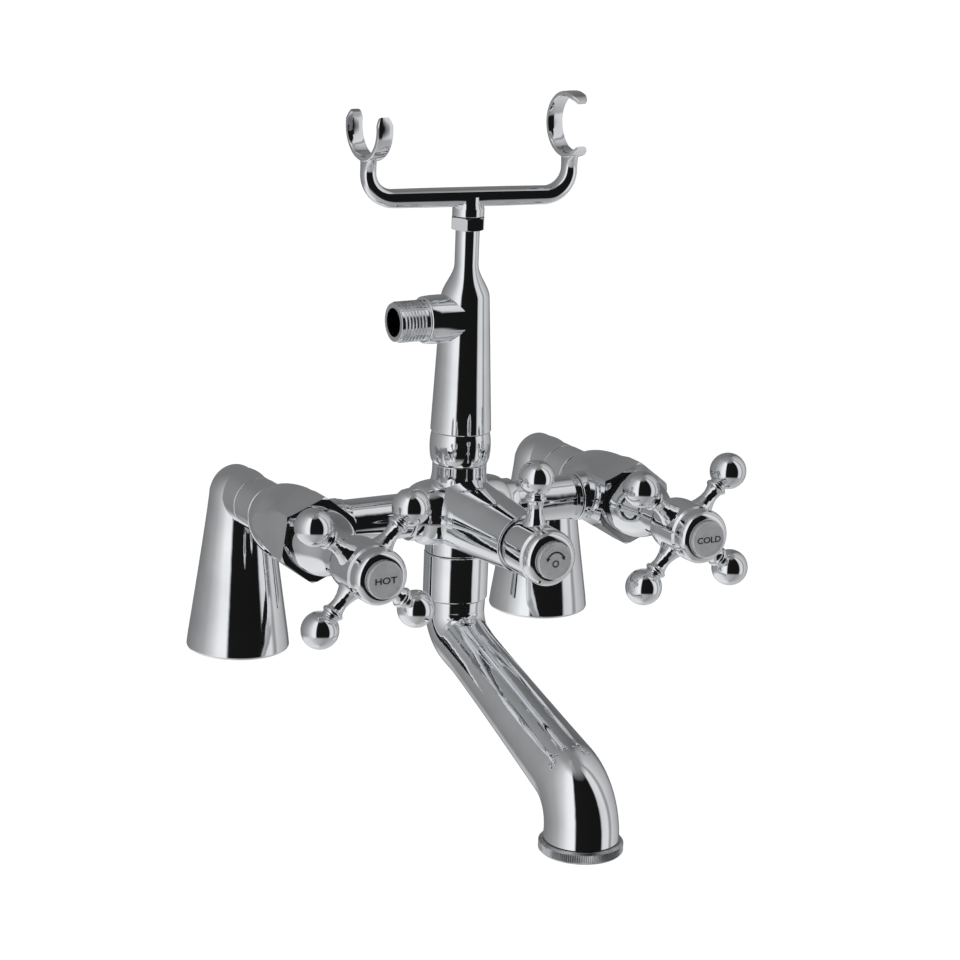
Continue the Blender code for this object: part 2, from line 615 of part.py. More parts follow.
def build_handle(side, parent):
    """A cross handle with four ball arms, and what turns with it."""
    outline = hub_outline(HUB_R, HUB_BACK_R, HUB_BACK, ARM_PLANE, HUB_GROOVE_FWD, HUB_FACE)
    handle = piece(turned(side + "_handle", outline, SMALL_ROUND), "chrome", parent)
    arm = ball_arm(side + "_arm", HUB_R, ARM_REACH, BALL_R)
    places = []
    for quarter in range(4):
        turn = HANDLE_TURN + math.radians(45 + 90 * quarter)
        place = Matrix.Rotation(turn, 4, "Z") @ Matrix.Rotation(math.radians(90), 4, "Y")
        places.append((arm, place))
    combine(handle, joined(side + "_arms", places), "UNION", (0.0, 0.0, ARM_PLANE))
    bore, index_floor, screw_floor, spindle_top = hub_bore(HUB_FACE, HUB_BACK)
    combine(handle, turned(side + "_handle_bore", bore, SMALL_ROUND), "DIFFERENCE")
    foot_front = SPINDLE_BACK + SPINDLE_FOOT_T
    build_spindle(side + "_spindle", parent, DISC_R, SPINDLE_BACK, foot_front, spindle_top - GAP)
    build_handle_trim(side, parent, index_floor, screw_floor, HUB_FACE + INDEX_PROUD)


def build_valve(side, x, inward):
    """One complete valve on its own axis."""
    valve = frame(side + "_handle_axis", (x, 0.0, AXIS_HEIGHT), FORWARD)
    build_valve_body(side, valve, inward)
    build_headwork(side, valve)
    build_shroud(side, valve)
    build_handle(side, valve)


# ---------------------------------------------------------------- side pipes
def pipe_outline():
    """A side pipe from the central body's arm (low) to the valve's port (high)."""
    low = BODY_ARM_OUT + GAP
    high = INLET_CENTRES / 2 - PORT_BOSS_OUT - GAP
    spigot_low = low - PIPE_SPIGOT_LEN
    spigot_high = high + PIPE_SPIGOT_LEN
    groove = (PIPE_SPIGOT_LEN - O_RING_T) / 2
    outline = [(PIPE_BORE_R, spigot_low)]
    outline.append((PIPE_SPIGOT_R, spigot_low))
    outline += grooved(PIPE_SPIGOT_R, spigot_low + groove)
    outline += [(PIPE_SPIGOT_R, low), (PIPE_R, low), (PIPE_R, high - PIPE_RING_W),
                (PIPE_RING_R, high - PIPE_RING_W), (PIPE_RING_R, high), (PIPE_SPIGOT_R, high)]
    outline += grooved(PIPE_SPIGOT_R, high + groove)
    outline += [(PIPE_SPIGOT_R, spigot_high), (PIPE_BORE_R, spigot_high)]
    rings = (spigot_low + groove, high + groove)
    return outline, rings


def build_pipes():
    """The two side pipes, and the O-rings on their spigots."""
    outline, rings = pipe_outline()
    middle = frame("pipe_frame", (0.0, -BODY_FORWARD, AXIS_HEIGHT), ALONG_X)
    for side, turn in (("left", math.pi), ("right", 0.0)):
        about = Matrix.Rotation(turn, 4, "Y")
        mesh = turned(side + "_pipe", outline, SMALL_ROUND)
        mesh.transform(about)
        piece(mesh, "chrome", middle)
        for end, low in zip(("inner", "outer"), rings):
            mesh = o_ring(side + "_pipe_" + end + "_o_ring", PIPE_SPIGOT_R, low)
            mesh.transform(about)
            piece(mesh, "rubber", middle)


# ---------------------------------------------------------------- central body and diverter
def build_central_body(centre):
    """The cast body: barrel and cone along Y, two side arms, and the bosses for riser and spout."""
    barrel = arc((0.0, 0.0), (BARREL_R, BARREL_BACK), -90, 0, 5)
    barrel[0] = (0.0, -BARREL_BACK)
    barrel += [(BARREL_R, BARREL_CYLINDER), (CONE_R, BARREL_CYLINDER + CONE_LEN),
               (0.0, BARREL_CYLINDER + CONE_LEN)]
    body = piece(turned("central_body", barrel, CAST_ROUND), "chrome", centre)
    end = BODY_ARM_OUT
    arms = [(0.0, -end), (BODY_ARM_R, -end), (BODY_ARM_R, -end * 0.8), (BODY_ARM_ROOT_R, -end * 0.5),
            (BODY_ARM_ROOT_R, end * 0.5), (BODY_ARM_R, end * 0.8), (BODY_ARM_R, end), (0.0, end)]
    combine(body, turned("body_arms", arms, CAST_ROUND), "UNION", (0, 0, 0), ALONG_X)
    bottom = -BOTTOM_BOSS_DEPTH
    thread = SPOUT_FACE - AXIS_HEIGHT
    post = [(0.0, thread), (SPOUT_THREAD_R, thread), (SPOUT_THREAD_R, bottom), (BOTTOM_BOSS_R, bottom),
            (BOTTOM_BOSS_R, 0.0), (TOP_BOSS_R + 0.0016, BARREL_R * 0.6),
            (TOP_BOSS_R, TOP_BOSS_HEIGHT - 0.004), (TOP_BOSS_R, TOP_BOSS_HEIGHT), (0.0, TOP_BOSS_HEIGHT)]
    upright = (-math.radians(90), 0.0, 0.0)
    combine(body, turned("body_post", post, CAST_ROUND), "UNION", (0, 0, 0), upright)

    front = BARREL_CYLINDER + CONE_LEN + GAP
    chamber = ROTOR_R + GAP
    back = -ROTOR_LEN / 2 - GAP
    rotor_bore = [(0.0, back), (chamber, back), (chamber, front), (0.0, front)]
    combine(body, turned("rotor_bore", rotor_bore, SMALL_ROUND), "DIFFERENCE")
    socket = end - PIPE_SPIGOT_LEN
    ports = [(0.0, -end - GAP), (PIPE_SPIGOT_R + GAP, -end - GAP), (PIPE_SPIGOT_R + GAP, -socket),
             (PIPE_BORE_R, -socket), (PIPE_BORE_R, socket), (PIPE_SPIGOT_R + GAP, socket),
             (PIPE_SPIGOT_R + GAP, end + GAP), (0.0, end + GAP)]
    combine(body, turned("arm_bores", ports, SMALL_ROUND), "DIFFERENCE", (0, 0, 0), ALONG_X)
    top = TOP_BOSS_HEIGHT
    top_socket = top - COUPLING_SPIGOT_LEN
    tail_top = TAIL_TOP + GAP - AXIS_HEIGHT
    upright_bore = [(0.0, thread - GAP), (SPOUT_TAIL_R + GAP, thread - GAP), (SPOUT_TAIL_R + GAP, tail_top),
                    (SPOUT_TAIL_BORE_R, tail_top), (COUPLING_BORE_R, 0.0), (COUPLING_BORE_R, top_socket),
                    (COUPLING_SPIGOT_R + GAP, top_socket), (COUPLING_SPIGOT_R + GAP, top + GAP),
                    (0.0, top + GAP)]
    combine(body, turned("upright_bore", upright_bore, SMALL_ROUND), "DIFFERENCE", (0, 0, 0), upright)


def build_diverter(centre):
    """The rotary diverter: rotor and stem, its headwork and seal, and the ball lever."""
    from_centre = -BODY_FORWARD
    front = ROTOR_LEN / 2
    cone_face = CONE_FACE + from_centre
    back = LEVER_BACK + from_centre
    plane = LEVER_PLANE + from_centre
    face = LEVER_FACE + from_centre
    bore, index_floor, screw_floor, spindle_top = hub_bore(face, back)
    rotor = build_spindle("diverter_rotor", centre, ROTOR_R, -front, front, spindle_top - GAP)
    through = rod("rotor_cross_port", ROTOR_PORT_R, -ROTOR_R - GAP, ROTOR_R + GAP, 16)
    combine(rotor, through, "DIFFERENCE", (0, 0, 0), ALONG_X)
    down = rod("rotor_spout_port", ROTOR_PORT_R * 0.98, 0.0, ROTOR_R + GAP, 16)
    combine(rotor, down, "DIFFERENCE", (0, 0, 0), (math.radians(90), 0.0, 0.0))

    stem_bore = SPINDLE_R + GAP
    seal_floor = cone_face - STEM_SEAL_DEPTH
    seal_r = stem_bore + O_RING_T + GAP
    shell = [(stem_bore, front + GAP), (ROTOR_R, front + GAP), (ROTOR_R, cone_face), (seal_r, cone_face),
             (seal_r, seal_floor), (stem_bore, seal_floor)]
    piece(turned("diverter_headwork", shell, SMALL_ROUND), "brass", centre)
    seal = washer("diverter_stem_seal", stem_bore, stem_bore + O_RING_T, seal_floor + GAP,
                  cone_face - GAP, SMALL_ROUND)
    piece(seal, "rubber", centre)

    outline = hub_outline(LEVER_HUB_R, LEVER_HUB_BACK_R, back, plane, LEVER_GROOVE_FWD, face)
    lever = piece(turned("diverter_lever", outline, SMALL_ROUND), "chrome", centre)
    arm = ball_arm("lever_arm", LEVER_HUB_R, ARM_REACH, LEVER_BALL_R)
    arm.transform(Matrix.Rotation(math.radians(-90), 4, "X"))
    combine(lever, arm, "UNION", (0.0, 0.0, plane))
    combine(lever, turned("lever_bore", bore, SMALL_ROUND), "DIFFERENCE")
    build_handle_trim("diverter", centre, index_floor, screw_floor, face + INDEX_PROUD)


# ---------------------------------------------------------------- spout
SPOUT_NUT_TOP = AXIS_HEIGHT - BOTTOM_BOSS_DEPTH - GAP
SPOUT_NUT_LOW = SPOUT_NUT_TOP - SPOUT_NUT_LEN
TAIL_FLANGE_LOW = SPOUT_NUT_LOW + SPOUT_NUT_LIP_T + GAP
TAIL_FLANGE_TOP = TAIL_FLANGE_LOW + SPOUT_TAIL_FLANGE_T
SPOUT_FACE = TAIL_FLANGE_TOP + FRICTION_WASHER_T + 2 * GAP      # underside of the body's thread
TAIL_TOP = SPOUT_FACE + SPOUT_TAIL_UP
SPOUT_TOP = SPOUT_NUT_LOW - GAP


def spout_path(turn_steps):
    """The spout's centre line as (forward, height): down, along the slope, and down to the mouth."""
    run = math.cos(SPOUT_SLOPE), -math.sin(SPOUT_SLOPE)
    turn = math.pi / 2 - SPOUT_SLOPE
    points = [(0.0, SPOUT_TOP)]
    start = SPOUT_KNEE + SPOUT_BEND_R * math.tan(turn / 2)
    for step in range(turn_steps + 1):
        angle = turn * step / turn_steps
        points.append((SPOUT_BEND_R * (1 - math.cos(angle)), start - SPOUT_BEND_R * math.sin(angle)))
    radius = SPOUT_DROP_BEND_R
    height = SPOUT_KNEE - SPOUT_REACH * math.tan(SPOUT_SLOPE)       # of the second knee
    tangent = radius * math.tan(turn / 2)
    begin = (SPOUT_REACH - tangent * run[0], height - tangent * run[1])
    last = points[-1]
    for share in (0.35, 0.7):
        points.append(tuple(a + (b - a) * share for a, b in zip(last, begin)))
    for step in range(turn_steps + 1):
        angle = turn - turn * step / turn_steps
        points.append((SPOUT_REACH - radius * (1 - math.cos(angle)),
                       height - tangent + radius * math.sin(angle)))
    points.append((SPOUT_REACH, SPOUT_MOUTH_Z))
    return points


def spout_radii(points):
    """Outside and channel radius along the centre line: both widen from the slope to the mouth."""
    lengths = [0.0]
    for before, after in zip(points, points[1:]):
        lengths.append(lengths[-1] + math.dist(before, after))
    radii = []
    narrow = 0.22           # share of the length where the inlet's radius has faded out
    for length in lengths:
        share = length / lengths[-1]
        fading = max(0.0, 1 - share / narrow)
        widening = max(0.0, (share - narrow) / (1 - narrow)) ** 1.3
        outside = (SPOUT_TUBE_R + (SPOUT_INLET_R - SPOUT_TUBE_R) * fading
                   + (SPOUT_MOUTH_R - SPOUT_TUBE_R) * widening)
        channel = SPOUT_TUBE_R - SPOUT_WALL
        channel += (SPOUT_MOUTH_CHANNEL_R - channel) * widening
        radii.append((outside, channel))
    return radii


def build_spout(axis):
    """The nut that holds the spout, the swivel tail and seals, the spout, and its aerator."""
    nut_bore = SPOUT_THREAD_R + GAP
    lip = SPOUT_SPIGOT_R + GAP
    edge = COLLAR_EDGE
    nut = [(lip, SPOUT_NUT_LOW), (SPOUT_NUT_R - edge, SPOUT_NUT_LOW), (SPOUT_NUT_R, SPOUT_NUT_LOW + edge),
           (SPOUT_NUT_R, SPOUT_NUT_TOP - edge), (SPOUT_NUT_R - edge, SPOUT_NUT_TOP),
           (nut_bore, SPOUT_NUT_TOP), (nut_bore, SPOUT_NUT_LOW + SPOUT_NUT_LIP_T),
           (lip, SPOUT_NUT_LOW + SPOUT_NUT_LIP_T)]
    piece(turned("spout_nut", nut), "chrome", axis)
    friction = washer("spout_friction_washer", SPOUT_TAIL_R + GAP, SPOUT_THREAD_R, TAIL_FLANGE_TOP + GAP,
                      TAIL_FLANGE_TOP + GAP + FRICTION_WASHER_T)
    piece(friction, "plastic", axis)

    tail_low = SPOUT_TOP - SPOUT_TAIL_ENGAGE
    seals = (SPOUT_FACE + SPOUT_TAIL_UP * 0.25, SPOUT_FACE + SPOUT_TAIL_UP * 0.65)
    tail = [(SPOUT_TAIL_BORE_R, tail_low), (SPOUT_SPIGOT_R, tail_low), (SPOUT_SPIGOT_R, TAIL_FLANGE_LOW),
            (SPOUT_THREAD_R, TAIL_FLANGE_LOW), (SPOUT_THREAD_R, TAIL_FLANGE_TOP),
            (SPOUT_TAIL_R, TAIL_FLANGE_TOP)]
    for low in seals:
        tail += grooved(SPOUT_TAIL_R, low)
    tail += [(SPOUT_TAIL_R, TAIL_TOP), (SPOUT_TAIL_BORE_R, TAIL_TOP)]
    piece(turned("spout_tail", tail, SMALL_ROUND), "brass", axis)
    for level, low in zip(("lower", "upper"), seals):
        piece(o_ring("spout_" + level + "_o_ring", SPOUT_TAIL_R, low), "rubber", axis)

    points = spout_path(4)
    radii = spout_radii(points)
    path = [Vector((0.0, -forward, height)) for forward, height in points]
    across = (1.0, 0.0, 0.0)
    outside = [(outer, outer) for outer, inner in radii]
    spout = piece(swept("spout", path, outside, across, round_section(ROUND)), "chrome", axis)
    inlet = rod("spout_inlet_socket", SPOUT_SPIGOT_R + GAP, tail_low - GAP, SPOUT_TOP + GAP, ROUND)
    combine(spout, inlet, "DIFFERENCE")
    path[0].z += GAP
    path[-1].z -= GAP
    inside = [(inner, inner) for outer, inner in radii]
    combine(spout, swept("spout_channel", path, inside, across, round_section(12)), "DIFFERENCE")
    mouth = rod("spout_mouth_socket", AERATOR_THREAD_R + GAP, SPOUT_MOUTH_Z - GAP, MOUTH_SHOULDER, ROUND)
    combine(spout, mouth, "DIFFERENCE", (0.0, -SPOUT_REACH, 0.0))


AERATOR_TOP = SPOUT_MOUTH_Z - GAP
AERATOR_LOW = AERATOR_TOP - AERATOR_T
AERATOR_THREAD_TOP = AERATOR_TOP + AERATOR_THREAD_LEN
MOUTH_SHOULDER = AERATOR_THREAD_TOP + AERATOR_WASHER_T + 2 * GAP


def build_aerator(axis):
    """The knurled outlet ring, the flow straightener inside it and its washer."""
    place = Matrix.Translation((0.0, -SPOUT_REACH, 0.0))
    edge = COLLAR_EDGE
    ring = [(AERATOR_LIP_R, AERATOR_LOW), (AERATOR_R - edge, AERATOR_LOW), (AERATOR_R, AERATOR_LOW + edge),
            (AERATOR_R, AERATOR_TOP - edge), (AERATOR_R - edge, AERATOR_TOP), (AERATOR_THREAD_R, AERATOR_TOP),
            (AERATOR_THREAD_R, AERATOR_THREAD_TOP), (AERATOR_BORE_R, AERATOR_THREAD_TOP),
            (AERATOR_BORE_R, AERATOR_LOW + AERATOR_LIP_T), (AERATOR_LIP_R, AERATOR_LOW + AERATOR_LIP_T)]
    mesh = turned("aerator_ring", ring)
    mesh.transform(place)
    piece(mesh, "satin_chrome", axis)
    low = AERATOR_LOW + AERATOR_LIP_T + GAP
    insert = rod("aerator_insert", AERATOR_BORE_R - GAP, low, low + AERATOR_INSERT_T)
    insert.transform(place)
    hole = rod("aerator_hole", AERATOR_HOLE_R, low - GAP, low + AERATOR_INSERT_T + GAP, 8)
    places = [(hole, place)]
    for sixth in range(6):
        turn = math.tau * sixth / 6
        offset = (AERATOR_HOLE_PITCH * math.cos(turn), AERATOR_HOLE_PITCH * math.sin(turn), 0.0)
        places.append((hole, place @ Matrix.Translation(offset)))
    combine(piece(insert, "plastic", axis), joined("aerator_holes", places), "DIFFERENCE")
    seal = washer("aerator_washer", AERATOR_LIP_R, AERATOR_THREAD_R, AERATOR_THREAD_TOP + GAP,
                  AERATOR_THREAD_TOP + GAP + AERATOR_WASHER_T, SMALL_ROUND)
    seal.transform(place)
    piece(seal, "rubber", axis)


# ---------------------------------------------------------------- riser and cradle
COUPLING_LOW = AXIS_HEIGHT + TOP_BOSS_HEIGHT + GAP
COUPLING_TOP = COUPLING_LOW + COUPLING_LEN
RISER_LOW = COUPLING_TOP + GAP
RISER_TOP = RISER_LOW + RISER_LEN
NUT_LOW = RISER_TOP + GAP
NUT_TOP = NUT_LOW + LOCK_NUT_T
CRADLE_LOW = NUT_TOP + GAP


def build_riser(axis):
    """The coupling, the riser with its hose outlet, and the nut that locks the cradle."""
    spigot = COUPLING_SPIGOT_R
    low = COUPLING_LOW - COUPLING_SPIGOT_LEN + GAP
    high = COUPLING_TOP + COUPLING_SPIGOT_LEN - GAP
    groove = (COUPLING_SPIGOT_LEN - O_RING_T) / 2
    rings = (low + groove, COUPLING_TOP + groove)
    waist = COUPLING_R - TOP_BOSS_R
    outline = [(COUPLING_BORE_R, low), (spigot, low)] + grooved(spigot, rings[0])
    outline += [(spigot, COUPLING_LOW), (TOP_BOSS_R, COUPLING_LOW)]
    outline += arc((TOP_BOSS_R, COUPLING_LOW + COUPLING_LEN / 2), (waist, COUPLING_LEN / 2), -75, 45, 4)
    outline += [(COUPLING_R - waist / 2, COUPLING_TOP), (spigot, COUPLING_TOP)]
    outline += grooved(spigot, rings[1]) + [(spigot, high), (COUPLING_BORE_R, high)]
    piece(turned("riser_coupling", outline, SMALL_ROUND), "chrome", axis)
    for level, ring in zip(("lower", "upper"), rings):
        piece(o_ring("riser_" + level + "_o_ring", spigot, ring), "rubber", axis)

    shoulder = RISER_LOW + RISER_SHOULDER
    neck = RISER_LOW + RISER_NECK
    outline = [(0.0, RISER_LOW), (RISER_FOOT_R, RISER_LOW), (RISER_SHOULDER_R, shoulder)]
    for share in (0.2, 0.4, 0.6, 0.8):
        ease = share * share * (3 - 2 * share)
        outline.append((RISER_SHOULDER_R + (RISER_NECK_R - RISER_SHOULDER_R) * ease,
                        shoulder + (neck - shoulder) * share))
    outline += [(RISER_NECK_R, neck), (RISER_NECK_R, RISER_TOP), (STUD_R, RISER_TOP),
                (STUD_R, RISER_TOP + STUD_LEN), (0.0, RISER_TOP + STUD_LEN)]
    riser = piece(turned("riser", outline), "chrome", axis)
    end = OUTLET_BOSS_OUT + OUTLET_THREAD_LEN
    outlet = [(0.0, 0.0), (OUTLET_BOSS_R, 0.0), (OUTLET_BOSS_R, OUTLET_BOSS_OUT),
              (OUTLET_THREAD_R, OUTLET_BOSS_OUT), (OUTLET_THREAD_R, end - OUTLET_CHAMFER),
              (OUTLET_THREAD_R - OUTLET_CHAMFER, end), (0.0, end)]
    outlet_place = (0.0, 0.0, RISER_LOW + OUTLET_HEIGHT)
    to_the_left = (0.0, -math.radians(90), 0.0)
    combine(riser, turned("outlet_solid", outlet), "UNION", outlet_place, to_the_left)
    socket = RISER_LOW + COUPLING_SPIGOT_LEN
    bore_top = RISER_LOW + OUTLET_HEIGHT + OUTLET_BORE_R
    bore = [(0.0, RISER_LOW - GAP), (spigot + GAP, RISER_LOW - GAP), (spigot + GAP, socket),
            (RISER_BORE_R, socket), (RISER_BORE_R, bore_top), (0.0, bore_top)]
    combine(riser, turned("riser_bore", bore, SMALL_ROUND), "DIFFERENCE")
    combine(riser, rod("outlet_bore", OUTLET_BORE_R, 0.0, end + GAP), "DIFFERENCE", outlet_place,
            to_the_left)

    nut = piece(hexagon_bar("cradle_lock_nut", LOCK_NUT_R, NUT_LOW, NUT_TOP), "chrome", axis)
    stud_hole = rod("lock_nut_hole", STUD_R + GAP, NUT_LOW - GAP, NUT_TOP + GAP)
    combine(nut, stud_hole, "DIFFERENCE")


def cradle_bar_path():
    """The bar's centre line: up one arm, along, and up the other, with its half sizes."""
    low = CRADLE_BAR_UP
    top = low + FORK_UP - FORK_R
    bend = CRADLE_BEND_R
    heights = (top + FORK_R * 0.19, top, top - bend * 0.28, low + bend)
    half = [(CRADLE_HALF_SPAN, height) for height in heights]
    for step in range(1, 5):
        angle = math.radians(90 * step / 4)
        half.append((CRADLE_HALF_SPAN - bend * (1 - math.cos(angle)), low + bend * (1 - math.sin(angle))))
    half.append((CRADLE_HALF_SPAN / 3, low))
    width = CRADLE_BAR_W / 2
    thick = CRADLE_BAR_T / 2
    sizes = [(FORK_R * 0.68, FORK_STRAP_W * 0.24), (FORK_R * 0.53, FORK_STRAP_W * 0.35),
             (width * 0.90, thick * 0.82), (width * 0.74, thick * 0.84)]
    sizes += [(width * (0.74 + 0.06 * step), thick * (0.84 + 0.04 * step)) for step in range(1, 5)]
    sizes.append((width, thick * 1.06))
    points = half + [(-across, height) for across, height in reversed(half)]
    return [Vector((across, 0.0, height)) for across, height in points], sizes + sizes[::-1]


def fork_mesh(name, x, arc_degrees):
    """A C-shaped strap bent round an axis near X."""
    start, end = arc_degrees
    steps = 10
    path = []
    for step in range(steps + 1):
        angle = math.radians(start + (end - start) * step / steps)
        forward = FORK_R * math.cos(angle)
        path.append(Vector((x + forward * math.sin(FORK_TURN), -forward * math.cos(FORK_TURN),
                            CRADLE_BAR_UP + FORK_UP + FORK_R * math.sin(angle))))
    strap = [(0.72, 1.0), (1.0, 0.35), (1.0, -0.35), (0.72, -1.0), (-0.72, -1.0), (-1.0, -0.35),
             (-1.0, 0.35), (-0.72, 1.0)]
    halves = [(FORK_STRAP_W / 2, FORK_STRAP_T / 2)] * (steps + 1)
    return swept(name, path, halves, (math.cos(FORK_TURN), math.sin(FORK_TURN), 0.0), strap)


def build_cradle(axis):
    """The handset cradle: a bar on a boss, curving up into two C-shaped forks."""
    path, sizes = cradle_bar_path()
    cradle = piece(swept("cradle", path, sizes, (0.0, 1.0, 0.0), round_section(12)), "chrome", axis)
    boss = rod("cradle_boss", CRADLE_BOSS_R, 0.0, CRADLE_BOSS_LEN + CRADLE_BAR_T / 4, ROUND)
    combine(cradle, boss, "UNION")
    for fork, x, arc_degrees in (("left_fork", -CRADLE_HALF_SPAN, LEFT_FORK_ARC),
                                 ("right_fork", CRADLE_HALF_SPAN, RIGHT_FORK_ARC)):
        combine(cradle, fork_mesh(fork, x, arc_degrees), "UNION")
        inside = rod(fork + "_inside", FORK_R - FORK_STRAP_T / 2 - 2 * GAP, -FORK_STRAP_W, FORK_STRAP_W)
        combine(cradle, inside, "DIFFERENCE", (x, 0.0, CRADLE_BAR_UP + FORK_UP), ALONG_X)
    stud_hole = STUD_LEN - LOCK_NUT_T - GAP
    combine(cradle, rod("cradle_stud_hole", STUD_R + GAP, -GAP, stud_hole), "DIFFERENCE")


# ---------------------------------------------------------------- the whole mixer
for old in list(bpy.data.objects):
    bpy.data.objects.remove(old)

for leg_side, leg_x in (("left", -INLET_CENTRES / 2), ("right", INLET_CENTRES / 2)):
    build_leg(leg_side, leg_x)
build_valve("hot", -INLET_CENTRES / 2, 1)
build_valve("cold", INLET_CENTRES / 2, -1)
build_pipes()
diverter_axis = frame("diverter_axis", (0.0, -BODY_FORWARD, AXIS_HEIGHT), FORWARD)
build_central_body(diverter_axis)
build_diverter(diverter_axis)
spout_axis = frame("spout_axis", (0.0, -BODY_FORWARD, 0.0))
build_spout(spout_axis)
build_aerator(spout_axis)
build_riser(spout_axis)
build_cradle(frame("cradle_axis", (0.0, -BODY_FORWARD, CRADLE_LOW), (0.0, 0.0, CRADLE_TURN)))
bpy.context.view_layer.update()
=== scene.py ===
import json
import math

import bmesh
import bpy
from mathutils import Matrix, Vector


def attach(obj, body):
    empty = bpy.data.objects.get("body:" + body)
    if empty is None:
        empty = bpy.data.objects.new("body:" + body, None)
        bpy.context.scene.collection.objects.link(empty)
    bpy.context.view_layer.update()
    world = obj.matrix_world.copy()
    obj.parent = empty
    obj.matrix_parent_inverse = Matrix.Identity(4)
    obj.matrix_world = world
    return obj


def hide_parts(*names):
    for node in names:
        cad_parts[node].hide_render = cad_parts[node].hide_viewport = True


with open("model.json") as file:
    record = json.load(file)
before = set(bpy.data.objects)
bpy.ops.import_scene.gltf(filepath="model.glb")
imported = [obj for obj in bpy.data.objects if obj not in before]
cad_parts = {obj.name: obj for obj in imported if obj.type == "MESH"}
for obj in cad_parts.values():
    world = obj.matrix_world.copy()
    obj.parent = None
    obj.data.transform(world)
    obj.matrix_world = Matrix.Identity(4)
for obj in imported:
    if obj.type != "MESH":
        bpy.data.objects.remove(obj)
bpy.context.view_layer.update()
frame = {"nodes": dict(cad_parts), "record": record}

scene = bpy.context.scene


# ---------------------------------------------------------------- camera and studio
# A packshot set-up: a long lens a little above the mixer and to its left, a seamless pale floor, and a
# studio that polished metal can mirror: a tall white softbox on the left, a dark opening in front, a pale
# wall on the right and a grey ceiling.
camera = bpy.data.objects.new("camera", bpy.data.cameras.new("camera"))
scene.collection.objects.link(camera)
camera.data.lens = 113.32
camera.data.sensor_width = 36.0
camera_right = Vector((0.8750, -0.4829, 0.0357)).normalized()
camera_back = Vector((-0.4744, -0.8401, 0.2632)).normalized()
camera_up = camera_back.cross(camera_right).normalized()
camera_right = camera_up.cross(camera_back)
camera.matrix_world = Matrix.Translation((-0.7174, -1.3608, 0.501)) @ Matrix(
    (camera_right, camera_up, camera_back)).transposed().to_4x4()
camera.data.clip_end = 60.0
scene.camera = camera
scene.view_settings.view_transform = "Standard"

FLOOR_Z = -0.30
FLOOR_R = 6.0
WALL_R = 7.4
floor_profile = [(0.0, FLOOR_Z), (FLOOR_R, FLOOR_Z), (7.0, FLOOR_Z + 0.3), (WALL_R, FLOOR_Z + 1.2),
                 (WALL_R, FLOOR_Z + 9.0)]
bm = bmesh.new()
rim = [bm.verts.new((radius, 0.0, height)) for radius, height in floor_profile]
sides = [bm.edges.new(pair) for pair in zip(rim, rim[1:])]
bmesh.ops.spin(bm, geom=rim + sides, cent=(0, 0, 0), axis=(0, 0, 1), angle=math.tau, steps=64, use_merge=True)
bmesh.ops.remove_doubles(bm, verts=bm.verts, dist=1e-5)
bmesh.ops.recalc_face_normals(bm, faces=bm.faces)
bmesh.ops.reverse_faces(bm, faces=bm.faces)
floor_mesh = bpy.data.meshes.new("floor")
bm.to_mesh(floor_mesh)
bm.free()
floor_mesh.shade_smooth()
floor = bpy.data.objects.new("floor", floor_mesh)
scene.collection.objects.link(floor)
floor_paint = bpy.data.materials.new("pale_floor")
floor_paint.use_nodes = True
paint = floor_paint.node_tree.nodes["Principled BSDF"]
paint.inputs["Base Color"].default_value = (0.93, 0.93, 0.93, 1.0)
paint.inputs["Roughness"].default_value = 0.9
paint.inputs["Emission Color"].default_value = (1.0, 1.0, 1.0, 1.0)
paint.inputs["Emission Strength"].default_value = 0.72
floor_mesh.materials.append(floor_paint)
floor.visible_glossy = False
floor.visible_diffuse = False
floor.visible_shadow = False

studio = bpy.data.worlds.new("studio")
scene.world = studio
studio.use_nodes = True
tree = studio.node_tree


def studio_node(kind, **settings):
    """A node of the studio's light, with its settings."""
    node = tree.nodes.new("ShaderNode" + kind)
    for setting, value in settings.items():
        setattr(node, setting, value)
    return node


def studio_value(operation, first, second):
    """A sum on two numbers or sockets of the studio's light."""
    node = studio_node("Math", operation=operation)
    for socket, value in zip(node.inputs, (first, second)):
        if isinstance(value, (int, float)):
            socket.default_value = value
        else:
            tree.links.new(value, socket)
    return node.outputs[0]


def studio_ramp(factor, stops):
    """A ramp of greys, each stop (place, grey)."""
    ramp = studio_node("ValToRGB")
    elements = ramp.color_ramp.elements
    while len(elements) < len(stops):
        elements.new(1.0)
    for element, (place, grey) in zip(elements, stops):
        element.position = place
        element.color = (grey, grey * 1.01, grey * 1.025, 1.0)
    tree.links.new(factor, ramp.inputs["Fac"])
    return ramp.outputs["Color"]


def studio_mix(factor, first, second):
    """First where the factor is 0, second where it is 1."""
    node = studio_node("Mix", data_type="RGBA")
    tree.links.new(factor, node.inputs["Factor"])
    tree.links.new(first, node.inputs["A"])
    tree.links.new(second, node.inputs["B"])
    return node.outputs["Result"]


